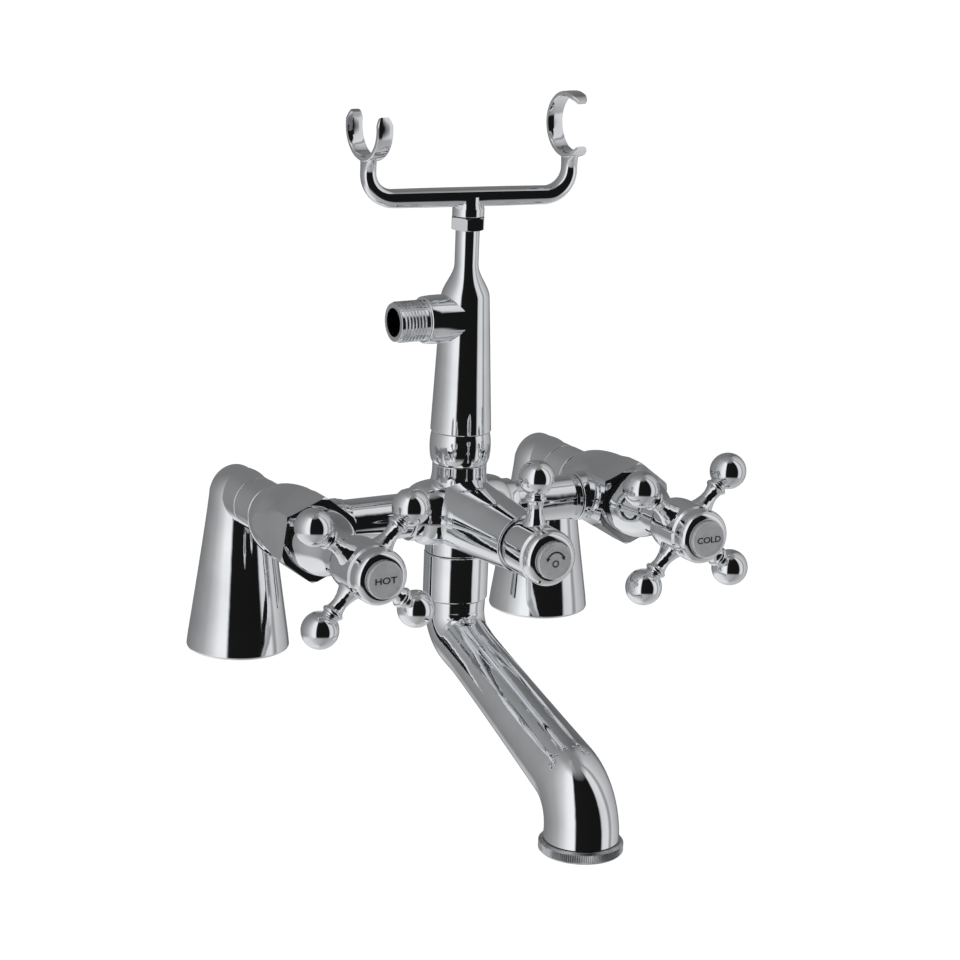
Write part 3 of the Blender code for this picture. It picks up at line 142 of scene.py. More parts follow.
direction = studio_node("TexCoord").outputs["Generated"]
parts_of_direction = []
for axis in ((0.8707, -0.4917, 0.0), (-0.4917, -0.8707, 0.0), (0.0, 0.0, 1.0)):
    dot = studio_node("VectorMath", operation="DOT_PRODUCT")
    dot.inputs[1].default_value = axis
    tree.links.new(direction, dot.inputs[0])
    parts_of_direction.append(dot.outputs["Value"])
sideways, frontwards, upwards = parts_of_direction
around = studio_value("ARCTAN2", sideways, frontwards)
around = studio_value("DIVIDE", around, math.tau)
around = studio_value("ADD", around, 0.5)
height = studio_value("MULTIPLY", upwards, 0.5)
height = studio_value("ADD", height, 0.5)
walls = studio_ramp(around, [
    (0.0, 0.20), (0.10, 0.22), (0.20, 0.30), (0.28, 0.42), (0.34, 0.66), (0.39, 0.95), (0.44, 1.00),
    (0.456, 0.010), (0.668, 0.008), (0.684, 0.72), (0.74, 0.80), (0.76, 0.34), (0.775, 0.34),
    (0.79, 0.66), (0.90, 0.40), (0.94, 0.14), (1.0, 0.20)])
ceiling = studio_ramp(around, [
    (0.0, 0.24), (0.30, 0.32), (0.40, 0.42), (0.55, 0.24), (0.75, 0.26), (1.0, 0.24)])
ground = studio_ramp(around, [
    (0.0, 0.62), (0.10, 0.84), (0.30, 0.78), (0.44, 0.52), (0.62, 0.34), (0.80, 0.52), (1.0, 0.62)])
low_edge = studio_ramp(height, [(0.0, 1.0), (0.22, 1.0), (0.29, 0.0), (1.0, 0.0)])
high_edge = studio_ramp(height, [(0.0, 0.0), (0.93, 0.0), (0.98, 1.0), (1.0, 1.0)])
light = studio_mix(low_edge, walls, ground)
light = studio_mix(high_edge, light, ceiling)
tree.links.new(light, tree.nodes["Background"].inputs["Color"])
tree.nodes["Background"].inputs["Strength"].default_value = 1.0


# ---------------------------------------------------------------- legs
# Two flared columns of hot-pressed brass, chromed and polished, that stand on the bath's rim and turn
# forwards to the valves at the top. The inlets for the supply tails are tapped up through the feet, and a
# black rubber gasket sits in a recess under each foot.
GAP = 0.0003
LEG_X = 0.090
AXIS_HEIGHT = 0.082
FOOT_R = 0.0268
FOOT_EDGE = 0.0014
NECK_R = 0.0158
FLARE = 1.08
FLARE_STEPS = 14
ELBOW_R = 0.0134
ELBOW_FACE = 0.0218
UNION_THREAD_R = 0.0112
UNION_THREAD_END = ELBOW_FACE + 0.0080
INLET_R = 0.01206
INLET_DEPTH = 0.0180
RECESS_IN_R = 0.0147
RECESS_OUT_R = 0.0213
RECESS_DEPTH = 0.0020
FORWARD = Matrix.Rotation(math.radians(90), 4, "X")


def softened(corners, segments=4):
    """An outline's points: each corner is (radius, height) or (radius, height, rounding)."""
    points = []
    for index, corner in enumerate(corners):
        at = Vector(corner[:2])
        if len(corner) == 2:
            points.append(at)
            continue
        rounding = corner[2]
        before = (Vector(corners[index - 1][:2]) - at).normalized()
        after = (Vector(corners[(index + 1) % len(corners)][:2]) - at).normalized()
        half = before.angle(after) / 2
        centre = at + (before + after).normalized() * rounding / math.sin(half)
        reach = rounding / math.tan(half)
        for step in range(segments + 1):
            spoke = (at + before * reach).lerp(at + after * reach, step / segments) - centre
            points.append(centre + spoke.normalized() * rounding)
    return points


def bow(centre, radii, start, end, steps):
    """Corners along an elliptical arc, in degrees from the radius axis."""
    corners = []
    for step in range(steps + 1):
        angle = math.radians(start + (end - start) * step / steps)
        corners.append((centre[0] + radii[0] * math.cos(angle), centre[1] + radii[1] * math.sin(angle)))
    return corners


def made(bm, name, place):
    """Turns a finished bmesh into an object of that name, with its place in its mesh."""
    bmesh.ops.remove_doubles(bm, verts=bm.verts, dist=2e-6)
    bmesh.ops.recalc_face_normals(bm, faces=bm.faces)
    bmesh.ops.transform(bm, matrix=place, verts=bm.verts)
    mesh = bpy.data.meshes.new(name)
    bm.to_mesh(mesh)
    bm.free()
    piece = bpy.data.objects.new(name, mesh)
    scene.collection.objects.link(piece)
    return piece


def turned(name, corners, place, steps=96):
    """A piece turned in a lathe; its outline ends on the axis, or is a closed ring round it."""
    points = softened(corners)
    bm = bmesh.new()
    verts = [bm.verts.new((point.x, 0.0, point.y)) for point in points]
    edges = [bm.edges.new(pair) for pair in zip(verts, verts[1:])]
    if points[0].x > 1e-6:
        edges.append(bm.edges.new((verts[-1], verts[0])))
    bmesh.ops.spin(bm, geom=verts + edges, cent=(0, 0, 0), axis=(0, 0, 1), angle=math.tau, steps=steps,
                   use_merge=True)
    return made(bm, name, place)


def worked(piece, tool, operation):
    """Joins a solid to a piece, cuts the piece with it or trims the piece to it; the solid is used up."""
    boolean = piece.modifiers.new("work", "BOOLEAN")
    boolean.object = tool
    boolean.operation = operation
    boolean.solver = "EXACT"
    result = bpy.data.meshes.new_from_object(piece.evaluated_get(bpy.context.evaluated_depsgraph_get()))
    result.name = piece.name
    piece.modifiers.clear()
    piece.data = result
    bpy.data.objects.remove(tool)
    return piece


def fitted(piece, material, body, slot, *solids):
    """Finishes a piece's shading and material, and puts it on its body in place of its solids."""
    piece.data.materials.clear()
    piece.data.materials.append(material)
    piece.data.shade_smooth()
    piece.data.set_sharp_from_angle(angle=math.radians(32))
    weighting = piece.modifiers.new("flat_faces_first", "WEIGHTED_NORMAL")
    weighting.keep_sharp = True
    weighting.weight = 80
    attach(piece, body)
    if solids:
        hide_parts(*solids)
    return piece


def shader_of(name):
    """A new material, its node tree and its shader."""
    material = bpy.data.materials.new(name)
    material.use_nodes = True
    return material, material.node_tree, material.node_tree.nodes["Principled BSDF"]


def noise(nodes, scale, detail, stretch=(1.0, 1.0, 1.0)):
    """A noise on Object coordinates, so that it keeps its place on the piece."""
    coordinates = nodes.nodes.new("ShaderNodeTexCoord")
    mapping = nodes.nodes.new("ShaderNodeMapping")
    mapping.inputs["Scale"].default_value = stretch
    texture = nodes.nodes.new("ShaderNodeTexNoise")
    texture.inputs["Scale"].default_value = scale
    texture.inputs["Detail"].default_value = detail
    nodes.links.new(coordinates.outputs["Object"], mapping.inputs["Vector"])
    nodes.links.new(mapping.outputs["Vector"], texture.inputs["Vector"])
    return texture.outputs["Fac"]


def spread(nodes, value, low, high, start=0.3, end=0.7):
    """Spreads a noise's middle part over a range of plain values."""
    ranged = nodes.nodes.new("ShaderNodeMapRange")
    ranged.inputs["From Min"].default_value = start
    ranged.inputs["From Max"].default_value = end
    ranged.inputs["To Min"].default_value = low
    ranged.inputs["To Max"].default_value = high
    nodes.links.new(value, ranged.inputs["Value"])
    return ranged.outputs["Result"]


def tinted(nodes, value, dark, pale):
    """Two colours mixed by a noise."""
    ramp = nodes.nodes.new("ShaderNodeValToRGB")
    ramp.color_ramp.elements[0].position = 0.35
    ramp.color_ramp.elements[0].color = (*dark, 1.0)
    ramp.color_ramp.elements[1].position = 0.65
    ramp.color_ramp.elements[1].color = (*pale, 1.0)
    nodes.links.new(value, ramp.inputs["Fac"])
    return ramp.outputs["Color"]


def bumped(nodes, shader, value, strength, depth):
    """A relief on the shader's surface."""
    bump = nodes.nodes.new("ShaderNodeBump")
    bump.inputs["Strength"].default_value = strength
    bump.inputs["Distance"].default_value = depth
    nodes.links.new(value, bump.inputs["Height"])
    nodes.links.new(bump.outputs["Normal"], shader.inputs["Normal"])


def finish(name, metallic, colours, roughness, relief=None):
    """A material of three noises, each (two ends, then scale, detail): colours, roughness and relief."""
    material, nodes, shader = shader_of(name)
    shader.inputs["Metallic"].default_value = metallic
    dark, pale, *grain = colours
    nodes.links.new(tinted(nodes, noise(nodes, *grain), dark, pale), shader.inputs["Base Color"])
    low, high, *grain = roughness
    nodes.links.new(spread(nodes, noise(nodes, *grain), low, high), shader.inputs["Roughness"])
    if relief:
        strength, depth, *grain = relief
        bumped(nodes, shader, noise(nodes, *grain), strength, depth)
    return material


def chrome_plate(name, ripple=0.10, haze=(0.025, 0.075)):
    """Polished chrome: a faint haze that comes and goes, and the low ripple that buffing leaves."""
    return finish(name, 1.0, ((0.78, 0.79, 0.81), (0.88, 0.89, 0.90), 38.0, 3.0), (*haze, 55.0, 4.0),
                  (ripple, 0.0004, 90.0, 2.0))


leg_chrome = chrome_plate("leg_chrome", ripple=0.16)
leg_column = [(0.0, INLET_DEPTH), (INLET_R, INLET_DEPTH), (INLET_R, 0.0), (RECESS_IN_R, 0.0),
              (RECESS_IN_R, RECESS_DEPTH), (RECESS_OUT_R, RECESS_DEPTH), (RECESS_OUT_R, 0.0),
              (FOOT_R, 0.0, FOOT_EDGE)]
for step in range(1, FLARE_STEPS + 1):
    share = step / FLARE_STEPS
    leg_column.append((NECK_R + (FOOT_R - NECK_R) * (1 - share) ** FLARE,
                       FOOT_EDGE + (AXIS_HEIGHT - FOOT_EDGE) * share))
leg_column += bow((0.0, AXIS_HEIGHT), (NECK_R, ELBOW_R), 0, 90, 14)[1:-1] + [(0.0, AXIS_HEIGHT + ELBOW_R)]
leg_elbow = [(0.0, -NECK_R / 2), (ELBOW_R, -NECK_R / 2), (ELBOW_R, ELBOW_FACE, 0.0006),
             (UNION_THREAD_R, ELBOW_FACE), (UNION_THREAD_R, UNION_THREAD_END, 0.0005),
             (0.0, UNION_THREAD_END)]
for side, x in (("left", -LEG_X), ("right", LEG_X)):
    leg = turned(side + "_leg_shell", leg_column, Matrix.Translation((x, 0.0, 0.0)))
    elbow = turned("elbow", leg_elbow, Matrix.Translation((x, 0.0, AXIS_HEIGHT)) @ FORWARD)
    fitted(worked(leg, elbow, "UNION"), leg_chrome, "mixer", "chrome", side + "_leg")


# ---------------------------------------------------------------- unions
# A brass collar screws onto each elbow and pulls the valve body's tail against a fibre washer. Only the
# collar and a narrow dark neck of the tail show.
COLLAR_R = 0.0136
COLLAR_BACK = ELBOW_FACE + GAP
COLLAR_FRONT = 0.0395
TAIL_R = 0.0097
TAIL_BORE_R = 0.0080
TAIL_BACK = 0.0318
TAIL_FLANGE = 0.0348
TAIL_FRONT = 0.0497
union_chrome = chrome_plate("union_chrome", ripple=0.12)
collar_ring = [(UNION_THREAD_R + GAP, COLLAR_BACK), (COLLAR_R, COLLAR_BACK, 0.0009),
               (COLLAR_R, COLLAR_FRONT, 0.0010), (TAIL_R + GAP, COLLAR_FRONT),
               (TAIL_R + GAP, TAIL_FLANGE + GAP), (UNION_THREAD_R + GAP, TAIL_FLANGE + GAP)]
tail_ring = [(TAIL_BORE_R, TAIL_BACK), (UNION_THREAD_R, TAIL_BACK), (UNION_THREAD_R, TAIL_FLANGE),
             (TAIL_R, TAIL_FLANGE), (TAIL_R, TAIL_FRONT), (TAIL_BORE_R, TAIL_FRONT)]
for side, x in (("left", -LEG_X), ("right", LEG_X)):
    union_place = Matrix.Translation((x, 0.0, AXIS_HEIGHT)) @ FORWARD
    collar = turned(side + "_collar", collar_ring, union_place)
    fitted(collar, union_chrome, "mixer", "chrome", side + "_union_collar")
    tail = turned(side + "_tail", tail_ring, union_place, 64)
    fitted(tail, union_chrome, "mixer", "chrome", side + "_union_tail")


# ---------------------------------------------------------------- valve bodies
# Each valve body is cut from hexagon bar: the back is turned round and fair, the front keeps its six flats,
# and a round boss on the inner side takes the side pipe.
VALVE_BACK = 0.0417
VALVE_FACE = 0.0930
VALVE_BACK_R = 0.0130
VALVE_WAIST_R = 0.0199
HEX_R = 0.0220
HEX_TURN = Matrix.Rotation(math.radians(-8), 4, "Z")
BODY_FORWARD = 0.0686
HEADWORK_SEAT_R = 0.0121
HEADWORK_SEAT = 0.0900
PORT_BOSS_R = 0.0126
PORT_BOSS_OUT = 0.0220
PORT_FLOOR = 0.0161
SPIGOT_R = 0.0092
SOCKET_R = SPIGOT_R + GAP
ALONG_X = Matrix.Rotation(math.radians(90), 4, "Y")
valve_chrome = chrome_plate("valve_chrome", ripple=0.10)


def hexagon(name, radius, low, high, edge, place):
    """A hexagon bar with one corner along its own +Y and its long edges eased."""
    bm = bmesh.new()
    bmesh.ops.create_circle(bm, cap_ends=True, segments=6, radius=radius,
                            matrix=Matrix.Translation((0, 0, low)))
    grown = bmesh.ops.extrude_face_region(bm, geom=bm.faces[:])["geom"]
    raised = [item for item in grown if isinstance(item, bmesh.types.BMVert)]
    bmesh.ops.translate(bm, verts=raised, vec=(0, 0, high - low))
    upright = [item for item in bm.edges if abs(item.verts[0].co.z - item.verts[1].co.z) > 1e-6]
    bmesh.ops.bevel(bm, geom=upright, offset=edge, affect="EDGES", segments=3, profile=0.5, material=-1)
    return made(bm, name, place)


valve_turning = [(0.0, VALVE_BACK), (VALVE_BACK_R, VALVE_BACK, 0.0006)]
valve_turning += bow((VALVE_BACK_R, BODY_FORWARD), (VALVE_WAIST_R - VALVE_BACK_R, BODY_FORWARD - VALVE_BACK),
                     -70, 0, 10)
valve_turning += [(0.0212, 0.0775), (0.0228, 0.0880), (0.0226, 0.0915), (HEX_R - 0.0012, VALVE_FACE),
                  (HEADWORK_SEAT_R, VALVE_FACE), (HEADWORK_SEAT_R, HEADWORK_SEAT), (0.0, HEADWORK_SEAT)]
boss = [(0.0, 0.0), (PORT_BOSS_R, 0.0), (PORT_BOSS_R, PORT_BOSS_OUT, 0.0006), (SOCKET_R, PORT_BOSS_OUT),
        (SOCKET_R, PORT_FLOOR), (0.0, PORT_FLOOR)]
socket = [(0.0, VALVE_BACK - 0.001), (TAIL_R + GAP, VALVE_BACK - 0.001), (TAIL_R + GAP, TAIL_FRONT + GAP),
          (0.0, TAIL_FRONT + GAP)]
for valve, x, inward in (("hot", -LEG_X, 1), ("cold", LEG_X, -1)):
    valve_place = Matrix.Translation((x, 0.0, AXIS_HEIGHT)) @ FORWARD
    body = hexagon(valve + "_valve_casting", HEX_R, VALVE_BACK - 0.002, VALVE_FACE + 0.002, 0.0005,
                   valve_place @ HEX_TURN)
    worked(body, turned("turning", valve_turning, valve_place, 128), "INTERSECT")
    port_place = Matrix.Translation((x, -BODY_FORWARD, AXIS_HEIGHT)) @ Matrix.Rotation(
        math.radians(90 * inward), 4, "Y")
    worked(body, turned("port", boss, port_place, 96), "UNION")
    worked(body, turned("socket", socket, valve_place, 64), "DIFFERENCE")
    fitted(body, valve_chrome, "mixer", "chrome", valve + "_valve_body")


# ---------------------------------------------------------------- bell shrouds
# A thin turned bell of chromed brass hides each headwork. It butts against the hexagon's front face and its
# narrow neck runs out to the back of the handle.
SHROUD_BACK = VALVE_FACE + GAP
SHROUD_FRONT = 0.1195
NECK_FRONT = 0.1275
SHROUD_BACK_R = 0.0166
SHROUD_NECK_R = 0.0105
SHROUD_WALL = 0.0018
NECK_BORE_R = 0.0083
BELL_STEPS = 20
shroud_chrome = chrome_plate("shroud_chrome", ripple=0.08)
bell = []
for step in range(BELL_STEPS + 1):
    share = step / BELL_STEPS
    waning = (1 + math.cos(math.pi * share ** 1.2)) / 2
    bell.append((SHROUD_NECK_R + (SHROUD_BACK_R - SHROUD_NECK_R) * waning,
                 SHROUD_BACK + (SHROUD_FRONT - SHROUD_BACK) * share))
inside_bell = [(radius - SHROUD_WALL, height) for radius, height in bell[:14]]
bell += [(SHROUD_NECK_R, NECK_FRONT, 0.0006), (NECK_BORE_R, NECK_FRONT), (NECK_BORE_R, inside_bell[-1][1])]
bell += reversed(inside_bell)
for valve, x in (("hot", -LEG_X), ("cold", LEG_X)):
    shroud = turned(valve + "_bell", bell, Matrix.Translation((x, 0.0, AXIS_HEIGHT)) @ FORWARD, 112)
    fitted(shroud, shroud_chrome, "mixer", "chrome", valve + "_shroud")


# ---------------------------------------------------------------- cross handles
# Cast brass handles, chromed: a turned hub with a groove in front of its four arms, and arms that swell
# from a slim waist into a bead and a ball. Each turns its spindle by a quarter turn.
HUB_BACK = NECK_FRONT + GAP
ARM_PLANE = 0.1428
HUB_FACE = 0.1618
HUB_R = 0.0138
HUB_BACK_R = 0.0115
HUB_GROOVE = 0.0095
HUB_NOSE = 0.0044
HUB_RIM = 0.0006
SPINDLE_BORE_R = 0.0043
SCREW_HEAD_R = 0.0052
SCREW_R = 0.0027
BALL_REACH = 0.0363
BALL_R = 0.00925
BEAD_R = 0.0040
INDEX_R = 0.0092
INDEX_SEAT = 0.0034
SCREW_SEAT = 0.0072
BORE_END = 0.0098
HANDLE_TURN = 4.9
handle_chrome = chrome_plate("handle_chrome", ripple=0.06, haze=(0.02, 0.06))


def hub(back, plane, face, radius, back_radius, groove):
    """A handle's hub: rounded back, groove before the arms, rim round the index, bore for the spindle."""
    nose_r = INDEX_R + GAP + HUB_RIM
    corners = [(SPINDLE_BORE_R, back), (back_radius, back, 0.0005)]
    reach = (plane - back) * 0.62
    corners += bow((back_radius, back + reach), (radius - back_radius, reach), -72, 0, 9)
    corners += [(radius, plane + groove - 0.0016, 0.0008), (radius - 0.0011, plane + groove, 0.0004),
                (radius, plane + groove + 0.0016, 0.0008)]
    corners += bow((nose_r, face - HUB_NOSE), (radius - nose_r, HUB_NOSE), 0, 90, 12)
    corners += [(INDEX_R + GAP, face), (INDEX_R + GAP, face - INDEX_SEAT), (SCREW_HEAD_R, face - INDEX_SEAT),
                (SCREW_HEAD_R, face - SCREW_SEAT), (SCREW_R, face - SCREW_SEAT), (SCREW_R, face - BORE_END),
                (SPINDLE_BORE_R, face - BORE_END)]
    return corners


def ball_arm(root, reach, ball):
    """An arm along +Z from inside its hub: flared root, waist, bead and ball."""
    corners = [(0.0, root * 0.75), (0.0060, root * 0.75), (0.0060, root - 0.0010),
               (0.0050, root + 0.0012, 0.0016), (BEAD_R, root + 0.0042, 0.0040),
               (0.0036, root + 0.0070, 0.0060), (BEAD_R, root + 0.0098, 0.0030)]
    corners += bow((BEAD_R, root + 0.0122), (0.0014, 0.0014), -70, 70, 6)
    start = -math.degrees(math.acos((BEAD_R + 0.0003) / ball))
    corners += bow((0.0, reach), (ball, ball), start, 90, 22)[:-1] + [(0.0, reach + ball)]
    return corners


for valve, x in (("hot", -LEG_X), ("cold", LEG_X)):
    handle_place = Matrix.Translation((x, 0.0, AXIS_HEIGHT)) @ FORWARD
    handle = turned(valve + "_cross", hub(HUB_BACK, ARM_PLANE, HUB_FACE, HUB_R, HUB_BACK_R, HUB_GROOVE),
                    handle_place, 112)
    for quarter in range(4):
        turn = Matrix.Rotation(math.radians(HANDLE_TURN + 45 + 90 * quarter), 4, "Z")
        arm_place = handle_place @ Matrix.Translation((0, 0, ARM_PLANE)) @ turn @ ALONG_X
        worked(handle, turned("arm", ball_arm(HUB_R, BALL_REACH, BALL_R), arm_place, 48), "UNION")
    fitted(handle, handle_chrome, valve + "_handle", "chrome", valve + "_handle")


# ---------------------------------------------------------------- index buttons
# Satin nickel discs with a bright turned rim, pressed into the hubs over the screws. The words are filled
# with dark enamel.
INDEX_PROUD = 0.0026
INDEX_SINK = 0.0002
MARK_THICK = 0.00024
index_metal = finish("index_satin", 0.25, ((0.78, 0.79, 0.80), (0.88, 0.89, 0.90), 260.0, 4.0),
                     (0.38, 0.52, 180.0, 3.0), (0.12, 0.0001, 900.0, 2.0))
enamel = finish("dark_enamel", 0.0, ((0.012, 0.013, 0.015), (0.03, 0.03, 0.033), 400.0, 2.0),
                (0.35, 0.55, 300.0, 2.0))


def button(face):
    """An index button, its face a little sunk inside a rounded rim."""
    low = face - INDEX_SEAT + GAP
    front = face + INDEX_PROUD
    return [(0.0, low), (INDEX_R, low), (INDEX_R, front, 0.0009), (INDEX_R - 0.0014, front, 0.0004),
            (INDEX_R - 0.0018, front - INDEX_SINK, 0.0002), (0.0, front - INDEX_SINK)]


def lettered(name, words, wide, tall, place):
    """Raised lettering cut to a width and a height, as a mesh."""
    text = bpy.data.curves.new(name, "FONT")
    text.body = words
    text.align_x = "CENTER"
    text.align_y = "CENTER"
    text.extrude = 0.5
    text.offset = 0.012
    writer = bpy.data.objects.new(name + "_text", text)
    scene.collection.objects.link(writer)
    mesh = bpy.data.meshes.new_from_object(writer.evaluated_get(bpy.context.evaluated_depsgraph_get()))
    bpy.data.objects.remove(writer)
    bm = bmesh.new()
    bm.from_mesh(mesh)
    bpy.data.meshes.remove(mesh)
    spans = [[vert.co[axis] for vert in bm.verts] for axis in range(3)]
    middle = Vector([(min(span) + max(span)) / 2 for span in spans])
    sizes = [max(span) - min(span) for span in spans]
    bmesh.ops.translate(bm, verts=bm.verts, vec=-middle)
    bmesh.ops.scale(bm, verts=bm.verts, vec=(wide / sizes[0], tall / sizes[1], MARK_THICK / sizes[2]))
    return made(bm, name, place)


for valve, x, word, wide in (("hot", -LEG_X, "HOT", 0.0114), ("cold", LEG_X, "COLD", 0.0136)):
    index_place = Matrix.Translation((x, 0.0, AXIS_HEIGHT)) @ FORWARD
    disc = turned(valve + "_index_button", button(HUB_FACE), index_place)
    fitted(disc, index_metal, valve + "_handle", "index", valve + "_index")
    letters = lettered(valve + "_lettering", word, wide, 0.0032,
                       index_place @ Matrix.Translation((0.0, 0.0, HUB_FACE + INDEX_PROUD - 0.00018)))
    fitted(letters, enamel, valve + "_handle", "index")


# ---------------------------------------------------------------- side pipes
# Two short chromed brass tubes carry hot and cold water into the central body. Each ends in a spigot with an
# O-ring, and a small rounded ring covers the joint at the valve.
PIPE_R = 0.0113
PIPE_BORE_R = 0.0065
PIPE_IN = 0.0247
PIPE_OUT = 0.0733
GROOVE_R = 0.0079
GROOVE_WIDTH = 0.0016
pipe_chrome = chrome_plate("pipe_chrome", ripple=0.14)


def grooved(low):
    """The O-ring's groove round a spigot, from the groove's lower edge."""
    high = low + GROOVE_WIDTH
    return [(SPIGOT_R, low), (GROOVE_R, low), (GROOVE_R, high), (SPIGOT_R, high)]


pipe_turning = [(PIPE_BORE_R, PIPE_IN), (SPIGOT_R, PIPE_IN), *grooved(0.0267), (SPIGOT_R, 0.0303),
                (PIPE_R, 0.0303, 0.0004), (PIPE_R, 0.0640, 0.0012), (0.0119, 0.0655, 0.0006),
                (0.0122, 0.0677, 0.0006), (SPIGOT_R, 0.0677), *grooved(0.0697), (SPIGOT_R, PIPE_OUT),
                (PIPE_BORE_R, PIPE_OUT)]
for side, turn in (("left", -90), ("right", 90)):
    aside = Matrix.Rotation(math.radians(turn), 4, "Y")
    pipe_place = Matrix.Translation((0.0, -BODY_FORWARD, AXIS_HEIGHT)) @ aside
    pipe = turned(side + "_side_pipe", pipe_turning, pipe_place, 80)
    fitted(pipe, pipe_chrome, "mixer", "chrome", side + "_pipe")


# ---------------------------------------------------------------- central body
# One chromed brass casting: a barrel that runs forward into a cone, two side arms and an upright that takes
# the riser above and the spout below. The shapes meet in crisp cast edges.
BARREL_R = 0.0190
BARREL_BACK = 0.0266
CONE_LEN = 0.1366 - BODY_FORWARD
CONE_R = 0.0148
CHAMBER_R = 0.0111
CHAMBER_FLOOR = 0.0560
ARM_R = 0.0132
ARM_END = 0.0300
ARM_FLOOR = 0.0244
TOP_BOSS_R = 0.0138
TOP_BOSS = 0.0250
BOTTOM_BOSS_R = 0.0162
BOTTOM_BOSS = -0.0214
THREAD_END = -0.0357
SPOUT_THREAD_R = 0.0134
TOP_FLOOR = TOP_BOSS - 0.0088
TAIL_SOCKET_R = 0.0107
TAIL_SOCKET_TOP = -0.0175
body_chrome = chrome_plate("body_chrome", ripple=0.15)
body_place = Matrix.Translation((0.0, -BODY_FORWARD, AXIS_HEIGHT))
barrel = [(0.0, -BARREL_BACK)] + bow((0.0, 0.0), (BARREL_R, BARREL_BACK), -90, 0, 18)[1:]
barrel += [(BARREL_R, 0.0090), (CONE_R, CONE_LEN, 0.0007), (CHAMBER_R, CONE_LEN, 0.0004),
           (CHAMBER_R, CHAMBER_FLOOR), (0.0, CHAMBER_FLOOR)]
body_arm = [(0.0, 0.0), (0.0172, 0.0)] + bow((ARM_R, 0.0120), (0.0038, 0.0125), 0, 78, 9)
body_arm += [(ARM_R, 0.0262), (ARM_R, ARM_END, 0.0007), (SOCKET_R, ARM_END), (SOCKET_R, ARM_FLOOR),
             (0.0, ARM_FLOOR)]
body_post = [(0.0, THREAD_END), (SPOUT_THREAD_R, THREAD_END, 0.0005), (SPOUT_THREAD_R, BOTTOM_BOSS),
             (BOTTOM_BOSS_R, BOTTOM_BOSS, 0.0006), (BOTTOM_BOSS_R, -0.0020), (0.0180, 0.0040)]
body_post += bow((0.0210, 0.0215), (0.0072, 0.0135), -110, -180, 9)
body_post += [(TOP_BOSS_R, TOP_BOSS, 0.0005), (SOCKET_R, TOP_BOSS), (SOCKET_R, TOP_FLOOR), (0.0, TOP_FLOOR)]
body = turned("body_casting", barrel, body_place @ FORWARD, 128)
for turn in (-90, 90):
    aside = Matrix.Rotation(math.radians(turn), 4, "Y")
    worked(body, turned("body_arm", body_arm, body_place @ aside, 96), "UNION")
worked(body, turned("body_post", body_post, body_place, 112), "UNION")
tail_socket = [(0.0, THREAD_END - 0.001), (TAIL_SOCKET_R, THREAD_END - 0.001),
               (TAIL_SOCKET_R, TAIL_SOCKET_TOP), (0.0, TAIL_SOCKET_TOP)]
worked(body, turned("tail_socket", tail_socket, body_place, 64), "DIFFERENCE")
fitted(body, body_chrome, "mixer", "chrome", "central_body")


# ---------------------------------------------------------------- diverter lever
# A ball lever of the same pattern as the handles turns the diverter between the spout and the hose. Its hub
# carries an index button with a plain turning arrow over a small ring.
LEVER_BACK = 0.1375
LEVER_PLANE = 0.1460
LEVER_FACE = 0.1650
LEVER_HUB_R = 0.0140
LEVER_BACK_R = 0.0128
LEVER_GROOVE = 0.0122
LEVER_BALL_R = 0.0088
ARROW_R = 0.0046
ARROW_ENDS = (20, 160)
MARK_INSIDE_R = 0.0012
MARK_R = 0.0018
lever_place = Matrix.Translation((0.0, 0.0, AXIS_HEIGHT)) @ FORWARD
lever_hub = hub(LEVER_BACK, LEVER_PLANE, LEVER_FACE, LEVER_HUB_R, LEVER_BACK_R, LEVER_GROOVE)
lever = turned("diverter_handle", lever_hub, lever_place, 112)
upward = Matrix.Translation((0, 0, LEVER_PLANE)) @ Matrix.Rotation(math.radians(-90), 4, "X")
lever_arm = ball_arm(LEVER_HUB_R, BALL_REACH, LEVER_BALL_R)
worked(lever, turned("arm", lever_arm, lever_place @ upward, 48), "UNION")
fitted(lever, handle_chrome, "diverter_lever", "chrome", "diverter_lever")
disc = turned("diverter_index_button", button(LEVER_FACE), lever_place)
fitted(disc, index_metal, "diverter_lever", "index", "diverter_index")


def curved_mark(name, radius, width, start, end, place):
    """A flat raised stroke along part of a circle."""
    bm = bmesh.new()
    corners = [(radius - width / 2, 0.0), (radius + width / 2, 0.0), (radius + width / 2, MARK_THICK),
               (radius - width / 2, MARK_THICK)]
    section = bm.faces.new([bm.verts.new((across, 0.0, high)) for across, high in corners])
    bmesh.ops.rotate(bm, verts=bm.verts, matrix=Matrix.Rotation(math.radians(start), 3, "Z"))
    bmesh.ops.spin(bm, geom=[section, *section.edges, *section.verts], cent=(0, 0, 0), axis=(0, 0, 1),
                   angle=math.radians(end - start), steps=36)
    return made(bm, name, place)


mark_place = lever_place @ Matrix.Translation((0.0, 0.0, LEVER_FACE + INDEX_PROUD - 0.00032))
arrow = curved_mark("diverter_arrow", ARROW_R, 0.0008, *ARROW_ENDS, mark_place)
for turn, lean, about in zip(ARROW_ENDS, (-1, 1), (180, 0)):
    bm = bmesh.new()
    bmesh.ops.create_cone(bm, cap_ends=True, cap_tris=True, segments=3, radius1=0.0013, radius2=0.0013,
                          depth=MARK_THICK)
    bmesh.ops.translate(bm, verts=bm.verts, vec=(0.0, 0.0, MARK_THICK / 2))
    aim = Matrix.Rotation(math.radians(turn), 4, "Z") @ Matrix.Translation((ARROW_R, 0.0002 * lean, 0.0))
    head = made(bm, "arrow_head", mark_place @ aim @ Matrix.Rotation(math.radians(about), 4, "Z"))
    worked(arrow, head, "UNION")
fitted(arrow, enamel, "diverter_lever", "index")
small_ring = [(MARK_INSIDE_R, 0.0), (MARK_R, 0.0), (MARK_R, MARK_THICK), (MARK_INSIDE_R, MARK_THICK)]
